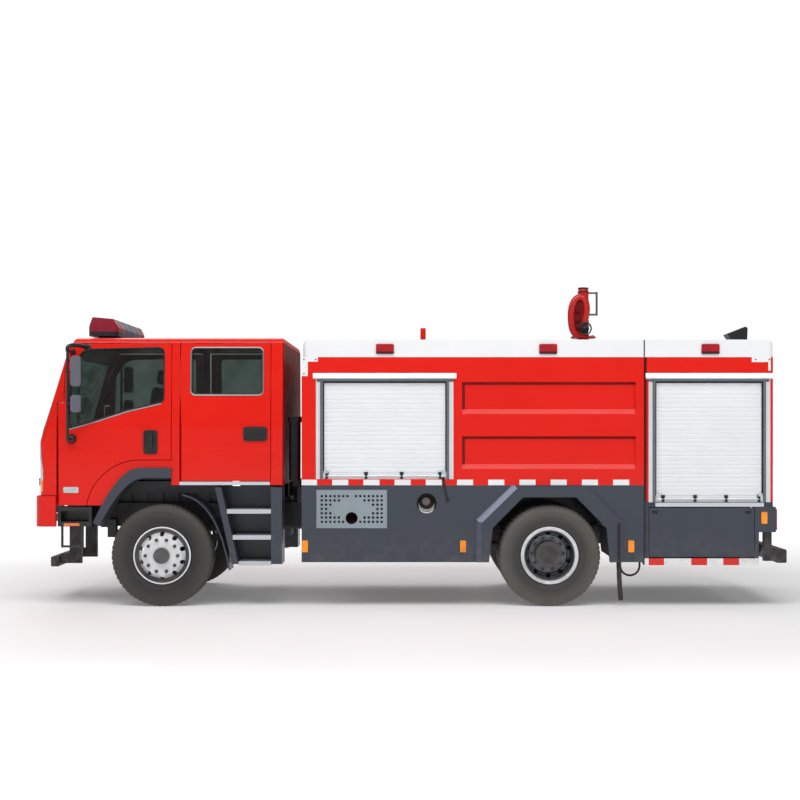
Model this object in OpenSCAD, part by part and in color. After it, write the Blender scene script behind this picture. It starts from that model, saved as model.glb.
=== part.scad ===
// Crew-cab fire truck on a two-axle lorry chassis.
// Millimetres; +X forward, +Y to the truck's left, +Z up, origin on the ground below the middle of the truck.

/* [Wheels] */
// Outside diameter of a tyre
tyre_d = 1052; // [1000:2:1070]
// Width of a tyre
tyre_w = 270; // [250:2:280]
// Diameter of a rim over its flanges
rim_d = 594; // [580:2:610]
// Middle of a front or outer rear tyre from the centreline
track_half = 1065; // [1055:1:1070]
// Distance between the middles of twin tyres
twin_pitch = 316; // [300:1:325]
// Number of wheel studs
studs = 10; // [8:1:10]
// Radius of the stud circle
stud_circle_r = 167.5; // [160:0.5:172]
// Radius of the spindle that carries a wheel
spindle_r = 45; // [38:1:50]

/* [Chassis] */
// Distance between the axles
wheel_base = 4000; // [3900:10:4060]
// Front axle ahead of the origin
front_axle_x = 2550; // [2540:2:2560]
// Inner face of a frame rail from the centreline
rail_y = 350; // [330:2:360]
// Flange width of a frame rail
rail_w = 80; // [70:2:90]
// Height of a frame rail
rail_h = 250; // [220:2:260]
// Top of the frame rails
rail_top_z = 1030; // [1024:1:1036]
// Wall thickness of a frame rail
rail_t = 14; // [10:1:18]
// Kingpin from the centreline
king_y = 881; // [870:1:890]

/* [Cab] */
// Foremost point of the cab panels
cab_front_x = 3860; // [3850:2:3870]
// Rear face of the cab
cab_rear_x = 1296; // [1285:1:1310]
// Half width of the cab over its doors
cab_half = 1200; // [1190:1:1215]
// Thickness of doors and cab walls
wall_t = 70; // [60:1:80]
// Underside of the cab floor
floor_z = 1295; // [1290:1:1300]
// Lower edge of the cab roof panel
roof_edge_z = 2721; // [2700:1:2740]
// Height of the roof's crown above its edge
roof_crown = 74; // [60:1:90]
// Lean of the cab sides above the belt line
tumble = 50; // [30:1:60]
// Height of the belt line
belt_z = 1830; // [1810:1:1850]
// Rake of the windscreen
screen_rake = 17; // [16:0.5:18]
// Gap round each door
door_gap = 7; // [6:0.5:9]

/* [Body] */
// Half width of the body
body_half = 1240; // [1232:1:1245]
// Front face of the body
body_front_x = 1105; // [1095:1:1115]
// Rear axle to the seam between the tank module and the pump module
seam_back = 965; // [955:1:975]
// Length of the pump module
pump_len = 1330; // [1320:1:1340]
// Lower edge of the tank module
body_low_z = 1254; // [1250:1:1258]
// Roof deck
deck_z = 2570; // [2560:1:2580]
// Height of the roof coaming
coaming_h = 180; // [160:1:190]
// Thickness of the roof coaming
coaming_t = 60; // [50:1:70]
// Lower edge of the side skirts
skirt_low_z = 463; // [455:1:475]
// Thickness of the side skirts
skirt_t = 40; // [30:1:50]
// Depth of the pressed side panels
press_d = 28; // [15:1:35]

/* [Shutters] */
// Height of the shutter heads
shutter_head_z = 2344; // [2335:1:2350]
// Width of a shutter's guide rail
guide_w = 70; // [60:1:74]
// Pitch of the shutter slats
slat_pitch = 45; // [40:1:60]
// Depth of a shutter's recess in the body
shutter_d = 80; // [70:1:90]

/* [Monitor] */
// Turning axis of the monitor ahead of the seam
monitor_ahead = 480; // [455:1:515]
// Height of the monitor's tilting axis above the deck
monitor_h = 430; // [400:1:460]
// Radius of the monitor's waterway
waterway_r = 45; // [40:1:50]

/* [Hidden] */
$fn = 48;

// Colours as the truck shows them
red = [0.90, 0.13, 0.06];
slate = [0.26, 0.29, 0.35];
white = [0.96, 0.96, 0.97];
black = [0.10, 0.10, 0.11];
alloy = [0.78, 0.80, 0.82];
steel = [0.45, 0.46, 0.48];
rubber = [0.20, 0.19, 0.18];
clear = [0.55, 0.65, 0.70];

// Clearances: turning bore, flat running gap
bore_gap = 0.4;
run_gap = 6;

// Axles
rear_axle_x = front_axle_x - wheel_base;
seam_x = rear_axle_x - seam_back;
body_rear_x = seam_x - pump_len;
monitor_x = seam_x + monitor_ahead;
axle_z = tyre_d / 2;
rail_low_z = rail_top_z - rail_h;
rail_out_y = rail_y + rail_w;

// Plain helpers: prisms along each axis, a box by its corners, a mirrored pair
module along_x(x0, x1) {
    translate([x0, 0, 0]) rotate([90, 0, 90]) linear_extrude(x1 - x0) children();
}
module along_y(y0, y1) {
    translate([0, y1, 0]) rotate([90, 0, 0]) linear_extrude(y1 - y0) children();
}
module along_z(z0, z1) {
    translate([0, 0, z0]) linear_extrude(z1 - z0) children();
}
module box(x0, x1, y0, y1, z0, z1) {
    translate([x0, y0, z0]) cube([x1 - x0, y1 - y0, z1 - z0]);
}
module both_sides() {
    children();
    mirror([0, 1, 0]) children();
}
module rod_y(x, z, r, y0, y1) {
    translate([x, y1, z]) rotate([90, 0, 0]) cylinder(r = r, h = y1 - y0);
}
module rod_x(y, z, r, x0, x1) {
    translate([x0, y, z]) rotate([0, 90, 0]) cylinder(r = r, h = x1 - x0);
}
module rod_z(x, y, r, z0, z1) {
    translate([x, y, z0]) cylinder(r = r, h = z1 - z0);
}
// Rounded rectangle by its edges
module round_rect(a0, a1, b0, b1, r) {
    translate([a0 + r, b0]) square([a1 - a0 - 2 * r, b1 - b0]);
    translate([a0, b0 + r]) square([a1 - a0, b1 - b0 - 2 * r]);
    for (a = [a0 + r, a1 - r], b = [b0 + r, b1 - r]) translate([a, b]) circle(r);
}
// Straight round bar between two points
module bar(p, q, r) {
    d = q - p;
    len = norm(d);
    translate(p) rotate([0, acos(d[2] / len), atan2(d[1], d[0])]) cylinder(r = r, h = len);
}
// Points along a curve that leaves p toward c and arrives at q from c
function curve(p, c, q, n = 8) = [for (i = [0 : n]) let (t = i / n)
    (1 - t) * (1 - t) * p + 2 * t * (1 - t) * c + t * t * q];

// Frame
rail_front_x = cab_front_x - 160;
rail_rear_x = body_rear_x + 45;
sub_rail_h = 110;
cross_w = 90;
cross_xs = [rail_front_x - 100, body_front_x + 60, rear_axle_x + 1150, seam_x + 150, rail_rear_x + 100];
bearer_xs = [for (i = [0 : 6]) body_front_x - 100 + i * (seam_x + 200 - body_front_x) / 6];
mount_w = 120;
cab_mount_xs = [cab_front_x - 480, cab_rear_x + wall_t + mount_w / 2 + 6];
bearer_half = body_half - 145;

module rail() {
    difference() {
        box(rail_rear_x, rail_front_x, rail_y, rail_out_y, rail_low_z, rail_top_z);
        box(rail_rear_x - 1, rail_front_x + 1, rail_y - 1, rail_out_y - rail_t,
            rail_low_z + rail_t, rail_top_z - rail_t);
    }
}
module chassis_frame() {
    color(black) {
        both_sides() {
            rail();
            box(seam_x + 3, body_front_x, rail_y, rail_out_y, rail_top_z, rail_top_z + sub_rail_h);
            for (x = cab_mount_xs)
                box(x - mount_w / 2, x + mount_w / 2, rail_y, rail_out_y, rail_top_z, floor_z);
        }
        for (x = cross_xs)
            box(x - cross_w / 2, x + cross_w / 2, -(rail_out_y - rail_t), rail_out_y - rail_t,
                rail_top_z - 190, rail_top_z - rail_t);
        for (x = bearer_xs)
            box(x - 40, x + 40, -bearer_half, bearer_half, rail_top_z + sub_rail_h, body_low_z);
    }
}

// Engine, gearbox, radiator and prop shaft
engine_rear_x = front_axle_x - 550;
engine_len = 1150;
gearbox_len = 700;
shaft_z = 780;
pinion_x = rear_axle_x + 330;
shaft_front_x = engine_rear_x - gearbox_len;

module powertrain() {
    color(steel) {
        difference() {
            box(engine_rear_x, engine_rear_x + engine_len, -300, 300, 720, floor_z - 35);
            for (s = [-1, 1], i = [0 : 5])
                translate([engine_rear_x + 130 + i * 170, s * 300, 1050]) cube([90, 60, 180], center = true);
        }
        both_sides() for (x = [engine_rear_x + 200, engine_rear_x + 950])
            box(x - 50, x + 50, 300, rail_out_y - rail_t, 880, 940);
        box(shaft_front_x, engine_rear_x, -190, 190, 660, 1080);
        box(engine_rear_x + engine_len + 120, engine_rear_x + engine_len + 210, -330, 330, 760, floor_z - 35);
        rod_x(0, 960, 180, engine_rear_x + engine_len, engine_rear_x + engine_len + 120);
        bar([shaft_front_x, 0, shaft_z], [pinion_x + 30, 0, axle_z], 50);
        rod_x(0, axle_z, 75, pinion_x, pinion_x + 30);
    }
}

// Leaf springs: short leaves below, the long main leaf on top
leaf_t = 16;
spring_y0 = rail_out_y + 10;
spring_w = 80;
hanger_t = 12;
function spring_r(half, sag) = (half * half + sag * sag) / (2 * sag);
function eye_z(half, seat, sag, n) = let (r = spring_r(half, sag))
    seat + r - sqrt(pow(r - (n - 0.5) * leaf_t, 2) - half * half);

module leaf_stack(half, sag, n) {
    r = spring_r(half, sag);
    for (i = [0 : n - 1]) {
        leaf_half = half * (0.35 + 0.65 * i / (n - 1));
        intersection() {
            difference() {
                circle(r - i * leaf_t, $fn = 360);
                circle(r - (i + 1) * leaf_t, $fn = 360);
            }
            translate([-leaf_half, -r]) square([2 * leaf_half, 2 * sag + n * leaf_t]);
        }
    }
}
module leaf_spring(x, half, seat, sag, n) {
    y1 = spring_y0 + spring_w;
    ez = eye_z(half, seat, sag, n);
    top = seat + n * leaf_t;
    along_y(spring_y0, y1) translate([x, seat + spring_r(half, sag)]) leaf_stack(half, sag, n);
    for (s = [-1, 1]) {
        box(x + s * half - 45, x + s * half + 45, rail_out_y, y1 + hanger_t, ez - 40, ez + 150);
        for (y = [spring_y0 - 14, y1 + 14])
            rod_z(x + s * 70, y, 12, axle_z - 100, top + 30);
    }
    box(x - 110, x + 110, spring_y0 - 28, y1 + 28, top, top + 22);
    box(x - 110, x + 110, spring_y0 - 28, y1 + 28, seat - 24, seat);
    box(x - 90, x + 90, spring_y0 - 28, y1 + 28, axle_z - 100, axle_z - 84);
}

// Front axle: dropped beam with kingpin bosses
boss_r = 58;
boss_h = 92;
king_r = 25;
front_seat_z = axle_z - 6;

module front_axle() {
    z0 = axle_z - 130;
    z1 = axle_z - 30;
    color(steel) difference() {
        union() {
            along_x(front_axle_x - 45, front_axle_x + 45) both_sides_2d() polygon([[0, z0], [600, z0],
                [740, axle_z - boss_h / 2], [king_y, axle_z - boss_h / 2], [king_y, axle_z + boss_h / 2],
                [720, axle_z + boss_h / 2], [580, z1], [0, z1]]);
            both_sides() {
                rod_z(front_axle_x, king_y, boss_r, axle_z - boss_h / 2, axle_z + boss_h / 2);
                leaf_spring(front_axle_x, 650, front_seat_z, 110, 5);
            }
        }
        both_sides() rod_z(front_axle_x, king_y, king_r + bore_gap, axle_z - boss_h, axle_z + boss_h);
    }
}
module both_sides_2d() {
    children();
    mirror([1, 0]) children();
}

// Rear axle: tube, differential case, pinion nose and wheel spindles
tube_r = 80;
rear_seat_z = axle_z + 110;
tube_half = track_half - twin_pitch - tyre_w / 2 - 30;

module rear_axle() {
    color(steel) {
        rod_y(rear_axle_x, axle_z, tube_r, -tube_half, tube_half);
        translate([rear_axle_x, 0, axle_z]) sphere(205);
        rod_x(0, axle_z, 90, rear_axle_x, pinion_x);
        both_sides() {
            rod_y(rear_axle_x, axle_z, spindle_r, tube_half, track_half - 15);
            leaf_spring(rear_axle_x, 700, rear_seat_z, 90, 7);
            box(rear_axle_x - 90, rear_axle_x + 90, spring_y0 - 28, spring_y0 + spring_w + 28,
                axle_z - 20, rear_seat_z - 20);
        }
    }
}

// Steering knuckle: forked arms on the kingpin, wheel spindle and steering arm
fork_t = 50;
yoke_y = king_y + boss_r + 7;
yoke_t = 30;
spindle_end_y = track_half + 110;

module knuckle() {
    top = axle_z + boss_h / 2 + run_gap;
    low = axle_z - boss_h / 2 - run_gap;
    color(steel) translate([front_axle_x, 0, 0]) {
        for (z = [top, low - fork_t]) {
            rod_z(0, king_y, boss_r - 4, z, z + fork_t);
            box(-50, 50, king_y, yoke_y + yoke_t, z, z + fork_t);
        }
        rod_z(0, king_y, king_r, low - 1, top + 1);
        box(-60, 60, yoke_y, yoke_y + yoke_t, low - fork_t, top + fork_t);
        rod_y(0, axle_z, spindle_r, yoke_y + yoke_t, spindle_end_y);
        box(-230, -40, king_y - 45, king_y + 5, low - fork_t, low - 10);
    }
}
module knuckle_left() {
    knuckle();
}
module knuckle_right() {
    mirror([0, 1, 0]) knuckle();
}

// Wheels, modelled round their own axle with the outside up
rim_r = rim_d / 2;
rim_half = 112;
barrel_r = 256;
barrel_t = 13;
nave = 130;
nave_t = 14;
hub_hole_r = 105;
hand_holes = 10;
hand_hole_r = 24;
nut_r = 19;
tyre_r = tyre_d / 2;

module rim_section() {
    br = barrel_r;
    bi = barrel_r - barrel_t;
    polygon([[rim_r, -rim_half], [rim_r, 12 - rim_half], [br + 6, 16 - rim_half], [br, 22 - rim_half],
        [br, rim_half - 22], [br + 6, rim_half - 16], [rim_r, rim_half - 12], [rim_r, rim_half],
        [rim_r - 12, rim_half], [bi + 7, rim_half - 12], [bi, rim_half - 20], [bi, 66],
        [222, nave - 22], [205, nave], [hub_hole_r, nave], [hub_hole_r, nave - nave_t],
        [196, nave - nave_t], [210, nave - 40], [232, 40], [bi, 30],
        [bi, 20 - rim_half], [bi + 7, 12 - rim_half], [rim_r - 12, -rim_half]]);
}
module rim() {
    difference() {
        rotate_extrude($fn = 96) rim_section();
        for (i = [0 : hand_holes - 1]) rotate([0, 0, (i + 0.5) * 360 / hand_holes])
            translate([220, 0, 20]) cylinder(r = hand_hole_r, h = nave);
    }
}
module nuts(z) {
    for (i = [0 : studs - 1]) rotate([0, 0, i * 360 / studs]) translate([stud_circle_r, 0, z]) {
        cylinder(r = nut_r, h = 24, $fn = 6);
        cylinder(r = nut_r * 0.55, h = 40);
    }
}
module front_wheel() {
    difference() {
        union() {
            rim();
            translate([0, 0, 50]) cylinder(r = hub_hole_r, h = nave - 50);
            translate([0, 0, nave]) cylinder(r = 82, h = 30);
            nuts(nave);
        }
        translate([0, 0, 40]) cylinder(r = spindle_r + bore_gap, h = 80);
    }
}
module rear_wheel() {
    inner = -twin_pitch;
    difference() {
        union() {
            mirror([0, 0, 1]) rim();
            translate([0, 0, inner]) rim();
            translate([0, 0, inner + nave]) cylinder(r = 190, h = twin_pitch - 2 * nave);
            translate([0, 0, inner - 20]) cylinder(r = hub_hole_r, h = twin_pitch - nave + 20);
            translate([0, 0, -nave]) cylinder(r = 138, h = nave + 20);
            nuts(nave_t - nave);
        }
        translate([0, 0, inner - 21]) cylinder(r = spindle_r + bore_gap, h = twin_pitch + 11);
    }
}
// Tyre section from bead to crown: radius, half width
tyre_half = tyre_w / 2;
tyre_side = [[barrel_r + 0.5, rim_half - 24], [rim_r + 4, rim_half - 19], [rim_r + 9, rim_half],
    [rim_r + 44, tyre_half - 11], [rim_r + 108, tyre_half], [tyre_r - 56, tyre_half - 4],
    [tyre_r - 22, tyre_half - 18], [tyre_r - 5, tyre_half - 38], [tyre_r, tyre_half - 58]];
groove_w = 12;
groove_d = 14;

module tyre() {
    n = len(tyre_side);
    rotate_extrude($fn = 96) difference() {
        polygon(concat(tyre_side, [for (i = [n - 1 : -1 : 0]) [tyre_side[i][0], -tyre_side[i][1]]]));
        for (z = [-55, -18, 18, 55])
            translate([tyre_r - groove_d, z - groove_w / 2]) square([groove_d + 1, groove_w]);
    }
}
// Set a wheel on its axle with its outside to the left
module on_axle(x) {
    translate([x, track_half, axle_z]) rotate([-90, 0, 0]) children();
}
module twin_tyres() {
    tyre();
    translate([0, 0, -twin_pitch]) tyre();
}
module rim_fl() {
    color(alloy) on_axle(front_axle_x) front_wheel();
}
module rim_fr() {
    mirror([0, 1, 0]) rim_fl();
}
module rim_rl() {
    color(alloy) on_axle(rear_axle_x) rear_wheel();
}
module rim_rr() {
    mirror([0, 1, 0]) rim_rl();
}
module tyre_fl() {
    color(rubber) on_axle(front_axle_x) tyre();
}
module tyre_fr() {
    mirror([0, 1, 0]) tyre_fl();
}
module tyre_rl() {
    color(rubber) on_axle(rear_axle_x) twin_tyres();
}
module tyre_rr() {
    mirror([0, 1, 0]) tyre_rl();
}

// Cab stations along X and heights
hinge_r = wall_t / 2 + 2;
front_hinge_x = cab_front_x - 270;
front_door_x0 = front_hinge_x - 1135;
rear_door_x1 = front_door_x0 - 95;
rear_hinge_x = rear_door_x1 - hinge_r;
rear_door_x0 = rear_door_x1 - 930;
crease_z = 1624;
crease_d = 4;
hinge_y = cab_half - crease_d / 2 - wall_t / 2;
side_low_z = 1045;
sill_low_z = 1254;
rear_door_z0 = floor_z;
screen_z0 = 1717;
door_top_z = roof_edge_z - door_gap;
roof_side_y = cab_half - crease_d - tumble;
arch_x = front_axle_x + 227;
arch_z = 960;
arch_r = 555;
arch_top_z = arch_z + arch_r;
front_panel_z0 = 1147;
skin_t = 60;

// Half section of the cab side, outside faces from the sill to the roof edge
side_points = [[cab_half, 900], [cab_half, crease_z - 8], [cab_half - crease_d, crease_z + 8],
    [cab_half - crease_d, belt_z], [roof_side_y, roof_edge_z]];
// Roof half section from the edge to the crown
roof_points = concat(
    curve([roof_side_y, roof_edge_z], [roof_side_y - 6, roof_edge_z + roof_crown * 0.7],
        [roof_side_y - 120, roof_edge_z + roof_crown * 0.78], 6),
    curve([roof_side_y - 120, roof_edge_z + roof_crown * 0.78], [roof_side_y / 2, roof_edge_z + roof_crown],
        [0, roof_edge_z + roof_crown], 6));
// Front outline of the cab in plan, set in by d, from the side to the centreline
function front_points(d) = concat(
    curve([cab_front_x - 130, cab_half - d], [cab_front_x - 45 - d, cab_half - d],
        [cab_front_x - 38 - d, cab_half - 120 - d]),
    curve([cab_front_x - 38 - d, cab_half - 120 - d], [cab_front_x - d, cab_half / 2], [cab_front_x - d, 0]));
function mirrored(points) = [for (i = [len(points) - 1 : -1 : 0]) [points[i][0], -points[i][1]]];

module front_plan(d, x_rear) {
    half = concat([[x_rear, cab_half - d]], front_points(d));
    polygon(concat(half, mirrored(half)));
}
module envelope(x0, x1) {
    along_x(x0, x1) both_sides_2d() polygon(concat([[0, 900]], side_points, roof_points));
}
module side_band(x0, x1, depth0, depth1) {
    outer = [for (p = side_points) p - [depth0, 0]];
    inner = [for (i = [len(side_points) - 1 : -1 : 0]) side_points[i] - [depth1, 0]];
    along_x(x0, x1) polygon(concat(outer, inner));
}
// Solid bounded by the cab's front: upright below the windscreen, raked above
module front_upright(d) {
    along_z(900, screen_z0) front_plan(d, cab_rear_x);
}
module front_raked(d) {
    translate([cab_front_x, 0, screen_z0]) rotate([0, -screen_rake, 0]) translate([-cab_front_x, 0, -200])
        linear_extrude(2700) front_plan(d, cab_rear_x - 400);
}
// Side outline of everything ahead of the front doors, grown back by g
hinge_top_z = belt_z + 270;
door_edge = [[front_hinge_x + hinge_r, hinge_top_z], [front_hinge_x - 32, hinge_top_z],
    [cab_front_x - 310, 2440], [cab_front_x - 435, roof_edge_z]];
module ahead_of_doors(g) {
    polygon(concat([[front_hinge_x + hinge_r + g, side_low_z - 100]], [for (p = door_edge) p + [g, g]],
        [[door_edge[3][0] + g, 3000], [cab_front_x + 200, 3000], [cab_front_x + 200, side_low_z - 100]]));
}
// Side outline below the chamfer that turns the windscreen header into the roof
module below_brow() {
    polygon([[0, 900], [cab_front_x + 200, 900], [cab_front_x + 200, screen_z0 - 200],
        [cab_front_x + 5, screen_z0], [cab_front_x - 220, 2440],
        [cab_front_x - 430, roof_edge_z + roof_crown + 5],
        [0, roof_edge_z + roof_crown + 5]]);
}
// Head lamp and grille outlines seen from the front
lamp_low_z = 1180;
lamp_top_z = 1700;
module lamp_outline() {
    polygon([[cab_half - 420, lamp_low_z], [cab_half - 12, lamp_low_z], [cab_half - 12, lamp_low_z + 240],
        [cab_half - 60, lamp_top_z], [cab_half - 110, lamp_top_z - 20], [cab_half - 380, lamp_low_z + 230]]);
}
grille_half = cab_half - 480;
grille_z0 = 1190;
grille_z1 = 1620;
glass_z0 = 1765;
glass_z1 = 2590;
module screen_outline() {
    both_sides_2d() polygon([[0, glass_z0], [cab_half - 120, glass_z0], [cab_half - 100, glass_z0 + 40],
        [cab_half - 165, glass_z1 - 40], [cab_half - 195, glass_z1], [0, glass_z1]]);
}
module front_zone() {
    along_x(cab_rear_x, cab_front_x + 100) children();
}

module cab_front() {
    color(red) difference() {
        intersection() {
            union() {
                difference() {
                    front_upright(0);
                    front_upright(skin_t);
                }
                difference() {
                    front_raked(0);
                    front_raked(skin_t);
                    box(0, cab_front_x + 200, -cab_half, cab_half, 0, screen_z0);
                }
            }
            envelope(cab_rear_x, cab_front_x + 100);
            along_y(-cab_half, cab_half) ahead_of_doors(door_gap);
            along_y(-cab_half, cab_half) below_brow();
            box(cab_rear_x, cab_front_x + 100, -cab_half, cab_half, front_panel_z0, roof_edge_z);
        }
        front_zone() both_sides_2d() lamp_outline();
        front_zone() translate([-grille_half, grille_z0]) square([2 * grille_half, grille_z1 - grille_z0]);
        front_zone() screen_outline();
    }
}
module windscreen() {
    color(clear) intersection() {
        difference() {
            front_raked(12);
            front_raked(20);
        }
        front_zone() screen_outline();
        box(cab_rear_x + 900, cab_front_x + 100, -cab_half, cab_half, 0, roof_edge_z);
    }
}
module cab_roof() {
    color(red) intersection() {
        envelope(cab_rear_x, cab_front_x);
        front_raked(0);
        along_y(-cab_half, cab_half) below_brow();
        along_y(-cab_half, cab_half) polygon([[cab_rear_x, roof_edge_z], [cab_front_x, roof_edge_z],
            [cab_front_x, 3000], [cab_rear_x + 70, 3000], [cab_rear_x + 60, roof_edge_z + roof_crown],
            [cab_rear_x + 14, roof_edge_z + roof_crown * 0.7], [cab_rear_x, roof_edge_z + 12]]);
    }
}
module cab_frame() {
    b0 = rear_door_x1 + door_gap;
    b1 = front_door_x0 - door_gap;
    color(red) {
        intersection() {
            envelope(cab_rear_x, cab_rear_x + wall_t);
            box(0, cab_front_x, -cab_half, cab_half, sill_low_z, roof_edge_z);
        }
        both_sides() intersection() {
            side_band(cab_rear_x, front_door_x0, 0, wall_t);
            union() {
                box(cab_rear_x, rear_door_x0 - door_gap, 0, cab_half, sill_low_z, roof_edge_z);
                box(b0, b1, 0, cab_half, sill_low_z, roof_edge_z);
                box(cab_rear_x, b1, 0, cab_half, sill_low_z, rear_door_z0 - door_gap);
            }
        }
    }
}
module cab_floor() {
    b0 = rear_door_x1 + door_gap;
    b1 = front_door_x0 - door_gap;
    floor_half = cab_half - wall_t - 8;
    color(black) {
        difference() {
            intersection() {
                along_z(floor_z, floor_z + 50) front_plan(skin_t, cab_rear_x + wall_t);
                box(cab_rear_x + wall_t, cab_front_x, -floor_half, floor_half, floor_z, floor_z + 50);
            }
            both_sides() box(b1 - door_gap, flare_in[1][0] + 90, liner_y0 - door_gap, cab_half,
                floor_z - 1, floor_z + 51);
        }
        both_sides() box(b0, b1, floor_half - 1, cab_half - wall_t, floor_z, floor_z + 50);
        seat_bases();
    }
}

// Doors: half-round hinge edge in front, window cut through
front_window = [[front_hinge_x - 65, belt_z + 6], [front_hinge_x - 94, 2457], [front_hinge_x - 207, 2621],
    [front_hinge_x - 289, 2657], [front_hinge_x - 1009, 2673], [front_hinge_x - 1050, 2655],
    [front_hinge_x - 1060, 2620], [front_hinge_x - 1060, 2149], [front_hinge_x - 1050, 2118],
    [front_hinge_x - 1029, 2107], [front_hinge_x - 680, 2025], [front_hinge_x - 382, 1927]];
rear_win_x0 = rear_door_x0 + 86;
rear_win_x1 = rear_door_x1 - 118;
rear_win_z0 = 2190;
rear_win_z1 = 2663;
glass_in = 34;
glass_t = 6;

module front_door_outline() {
    difference() {
        polygon([[front_door_x0, side_low_z], [front_hinge_x + hinge_r, side_low_z], door_edge[0],
            door_edge[1],
            door_edge[2], [door_edge[3][0], door_top_z], [front_door_x0, door_top_z]]);
        translate([arch_x, arch_z]) circle(arch_r, $fn = 180);
        translate([0, 900]) square([arch_x, arch_top_z - 900]);
    }
}
module hinged_zone(x) {
    box(0, x, 0, cab_half, 0, 3000);
    rod_z(x, hinge_y, hinge_r, 0, 3000);
}
module front_door() {
    color(red) difference() {
        intersection() {
            side_band(front_door_x0 - 1, front_hinge_x + 100, 0, wall_t);
            along_y(0, cab_half) front_door_outline();
            hinged_zone(front_hinge_x);
        }
        along_y(0, cab_half + 1) polygon(front_window);
        along_y(skin_y, cab_half + 1)
            round_rect(handle_x - handle_half, handle_x + handle_half, handle_z0, handle_z1, 28);
    }
}
module rear_door() {
    color(red) difference() {
        intersection() {
            side_band(rear_door_x0 - 1, rear_door_x1 + 1, 0, wall_t);
            box(rear_door_x0, rear_door_x1, 0, cab_half, rear_door_z0, door_top_z);
            hinged_zone(rear_hinge_x);
        }
        along_y(0, cab_half + 1) round_rect(rear_win_x0, rear_win_x1, rear_win_z0, rear_win_z1, 40);
    }
}
module front_glass() {
    color(clear) intersection() {
        side_band(front_door_x0, front_hinge_x, glass_in, glass_in + glass_t);
        along_y(0, cab_half) polygon(front_window);
    }
}
module rear_glass() {
    color(clear) intersection() {
        side_band(rear_door_x0, rear_door_x1, glass_in, glass_in + glass_t);
        along_y(0, cab_half) round_rect(rear_win_x0, rear_win_x1, rear_win_z0, rear_win_z1, 40);
    }
}
module door_fl() {
    front_door();
}
module door_fr() {
    mirror([0, 1, 0]) front_door();
}
module door_rl() {
    rear_door();
}
module door_rr() {
    mirror([0, 1, 0]) rear_door();
}
module glass_fl() {
    front_glass();
}
module glass_fr() {
    mirror([0, 1, 0]) front_glass();
}
module glass_rl() {
    rear_glass();
}
module glass_rr() {
    mirror([0, 1, 0]) rear_glass();
}

// Mirrors on a tube frame and the door handle
arm_x = front_hinge_x - 115;
arm_r = 14;
mirror_x = arm_x - 88;
mirror_y = cab_half + 190;
mirror_w = 104;
mirror_d = 70;
// Mirror heads as rows of z0, z1
mirror_heads = [[2265, 2575], [2003, 2178]];
handle_x = front_hinge_x - 925;
handle_z0 = 1573;
handle_z1 = 1820;
handle_half = 72;
skin_y = cab_half - crease_d;
arm_low_z = 1730;
arm_top_z = 2625;
arm_top_y = skin_y - tumble * (arm_top_z - belt_z) / (roof_edge_z - belt_z);
module front_trim() {
    color(black) {
        rod_z(arm_x, mirror_y, arm_r, arm_low_z - arm_r, arm_top_z + arm_r);
        rod_y(arm_x, arm_low_z, arm_r - 1, skin_y, mirror_y);
        rod_y(arm_x, arm_low_z, 42, skin_y, skin_y + 16);
        rod_y(arm_x, arm_top_z, arm_r - 1, arm_top_y + 1, mirror_y);
        for (h = mirror_heads) {
            along_y(mirror_y - mirror_d / 2, mirror_y + mirror_d / 2)
                round_rect(mirror_x - mirror_w / 2, mirror_x + mirror_w / 2, h[0], h[1], 34);
            rod_x(mirror_y, (h[0] + h[1]) / 2, arm_r - 2, mirror_x, arm_x);
        }
        handle(handle_x, handle_z0, handle_z1, handle_half, skin_y);
    }
}
module handle(x, z0, z1, w, y) {
    difference() {
        along_y(y, y + 14) round_rect(x - w, x + w, z0, z1, 28);
        along_y(y + 5, y + 15) round_rect(x - w + 14, x + w - 14, z0 + 90, z1 - 14, 20);
    }
    along_y(y + 5, y + 30) round_rect(x - 22, x + 22, z0 + 30, z1 - 30, 12);
}
module trim_fl() {
    front_trim();
}
module trim_fr() {
    mirror([0, 1, 0]) front_trim();
}
module rear_handle() {
    y = cab_half - crease_d;
    color(black) difference() {
        along_y(y, y + 14) round_rect(rear_door_x0 + 32, rear_door_x0 + 278, 1706, 1855, 30);
        along_y(y + 4, y + 15) round_rect(rear_door_x0 + 56, rear_door_x0 + 254, 1724, 1780, 20);
    }
}
module handle_rl() {
    rear_handle();
}
module handle_rr() {
    mirror([0, 1, 0]) rear_handle();
}

// Cab inside: seats, dashboard with steering wheel
seat_x = front_hinge_x - 900;
seat_y = cab_half - 640;
seat_w = 520;
cushion_t = 130;
seat_base_h = 270;
bench_x = cab_rear_x + wall_t + 30;
bench_half = cab_half - 200;
bench_w = 0.65 * bench_half;
floor_top = floor_z + 50;
seat_top = floor_top + seat_base_h;
back_rake = 8;

module seat_bases() {
    for (s = [-1, 1])
        box(seat_x + 40, seat_x + 460, s * seat_y - 200, s * seat_y + 200, floor_top, seat_top);
    box(bench_x, bench_x + 440, -bench_half, bench_half, floor_top, seat_top - 60);
}
// Seat pad and backrest, with the pad's rear edge at x
module seat(x, y, w, z, depth, back_h) {
    translate([x, y, z]) {
        along_z(0, cushion_t) round_rect(0, depth, -w / 2, w / 2, 50);
        translate([0, 0, cushion_t - 20]) rotate([0, -back_rake, 0]) along_x(0, 110)
            round_rect(-w / 2, w / 2, 0, back_h, 60);
    }
}
module seats() {
    color(black) {
        for (s = [-1, 1]) {
            seat(seat_x, s * seat_y, seat_w, seat_top, 500, 560);
            translate([seat_x - 77, s * seat_y, seat_top + cushion_t + 524]) rotate([0, -back_rake, 0])
                along_x(10, 100) round_rect(-140, 140, 0, 180, 50);
        }
        for (i = [-1, 0, 1])
            seat(bench_x + 90, i * (bench_w + 10), bench_w, seat_top - 60, 480, 560);
    }
}
dash_half = cab_half - 140;
wheel_c = [front_hinge_x - 330, seat_y, 1890];
column_rake = 55;
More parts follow.
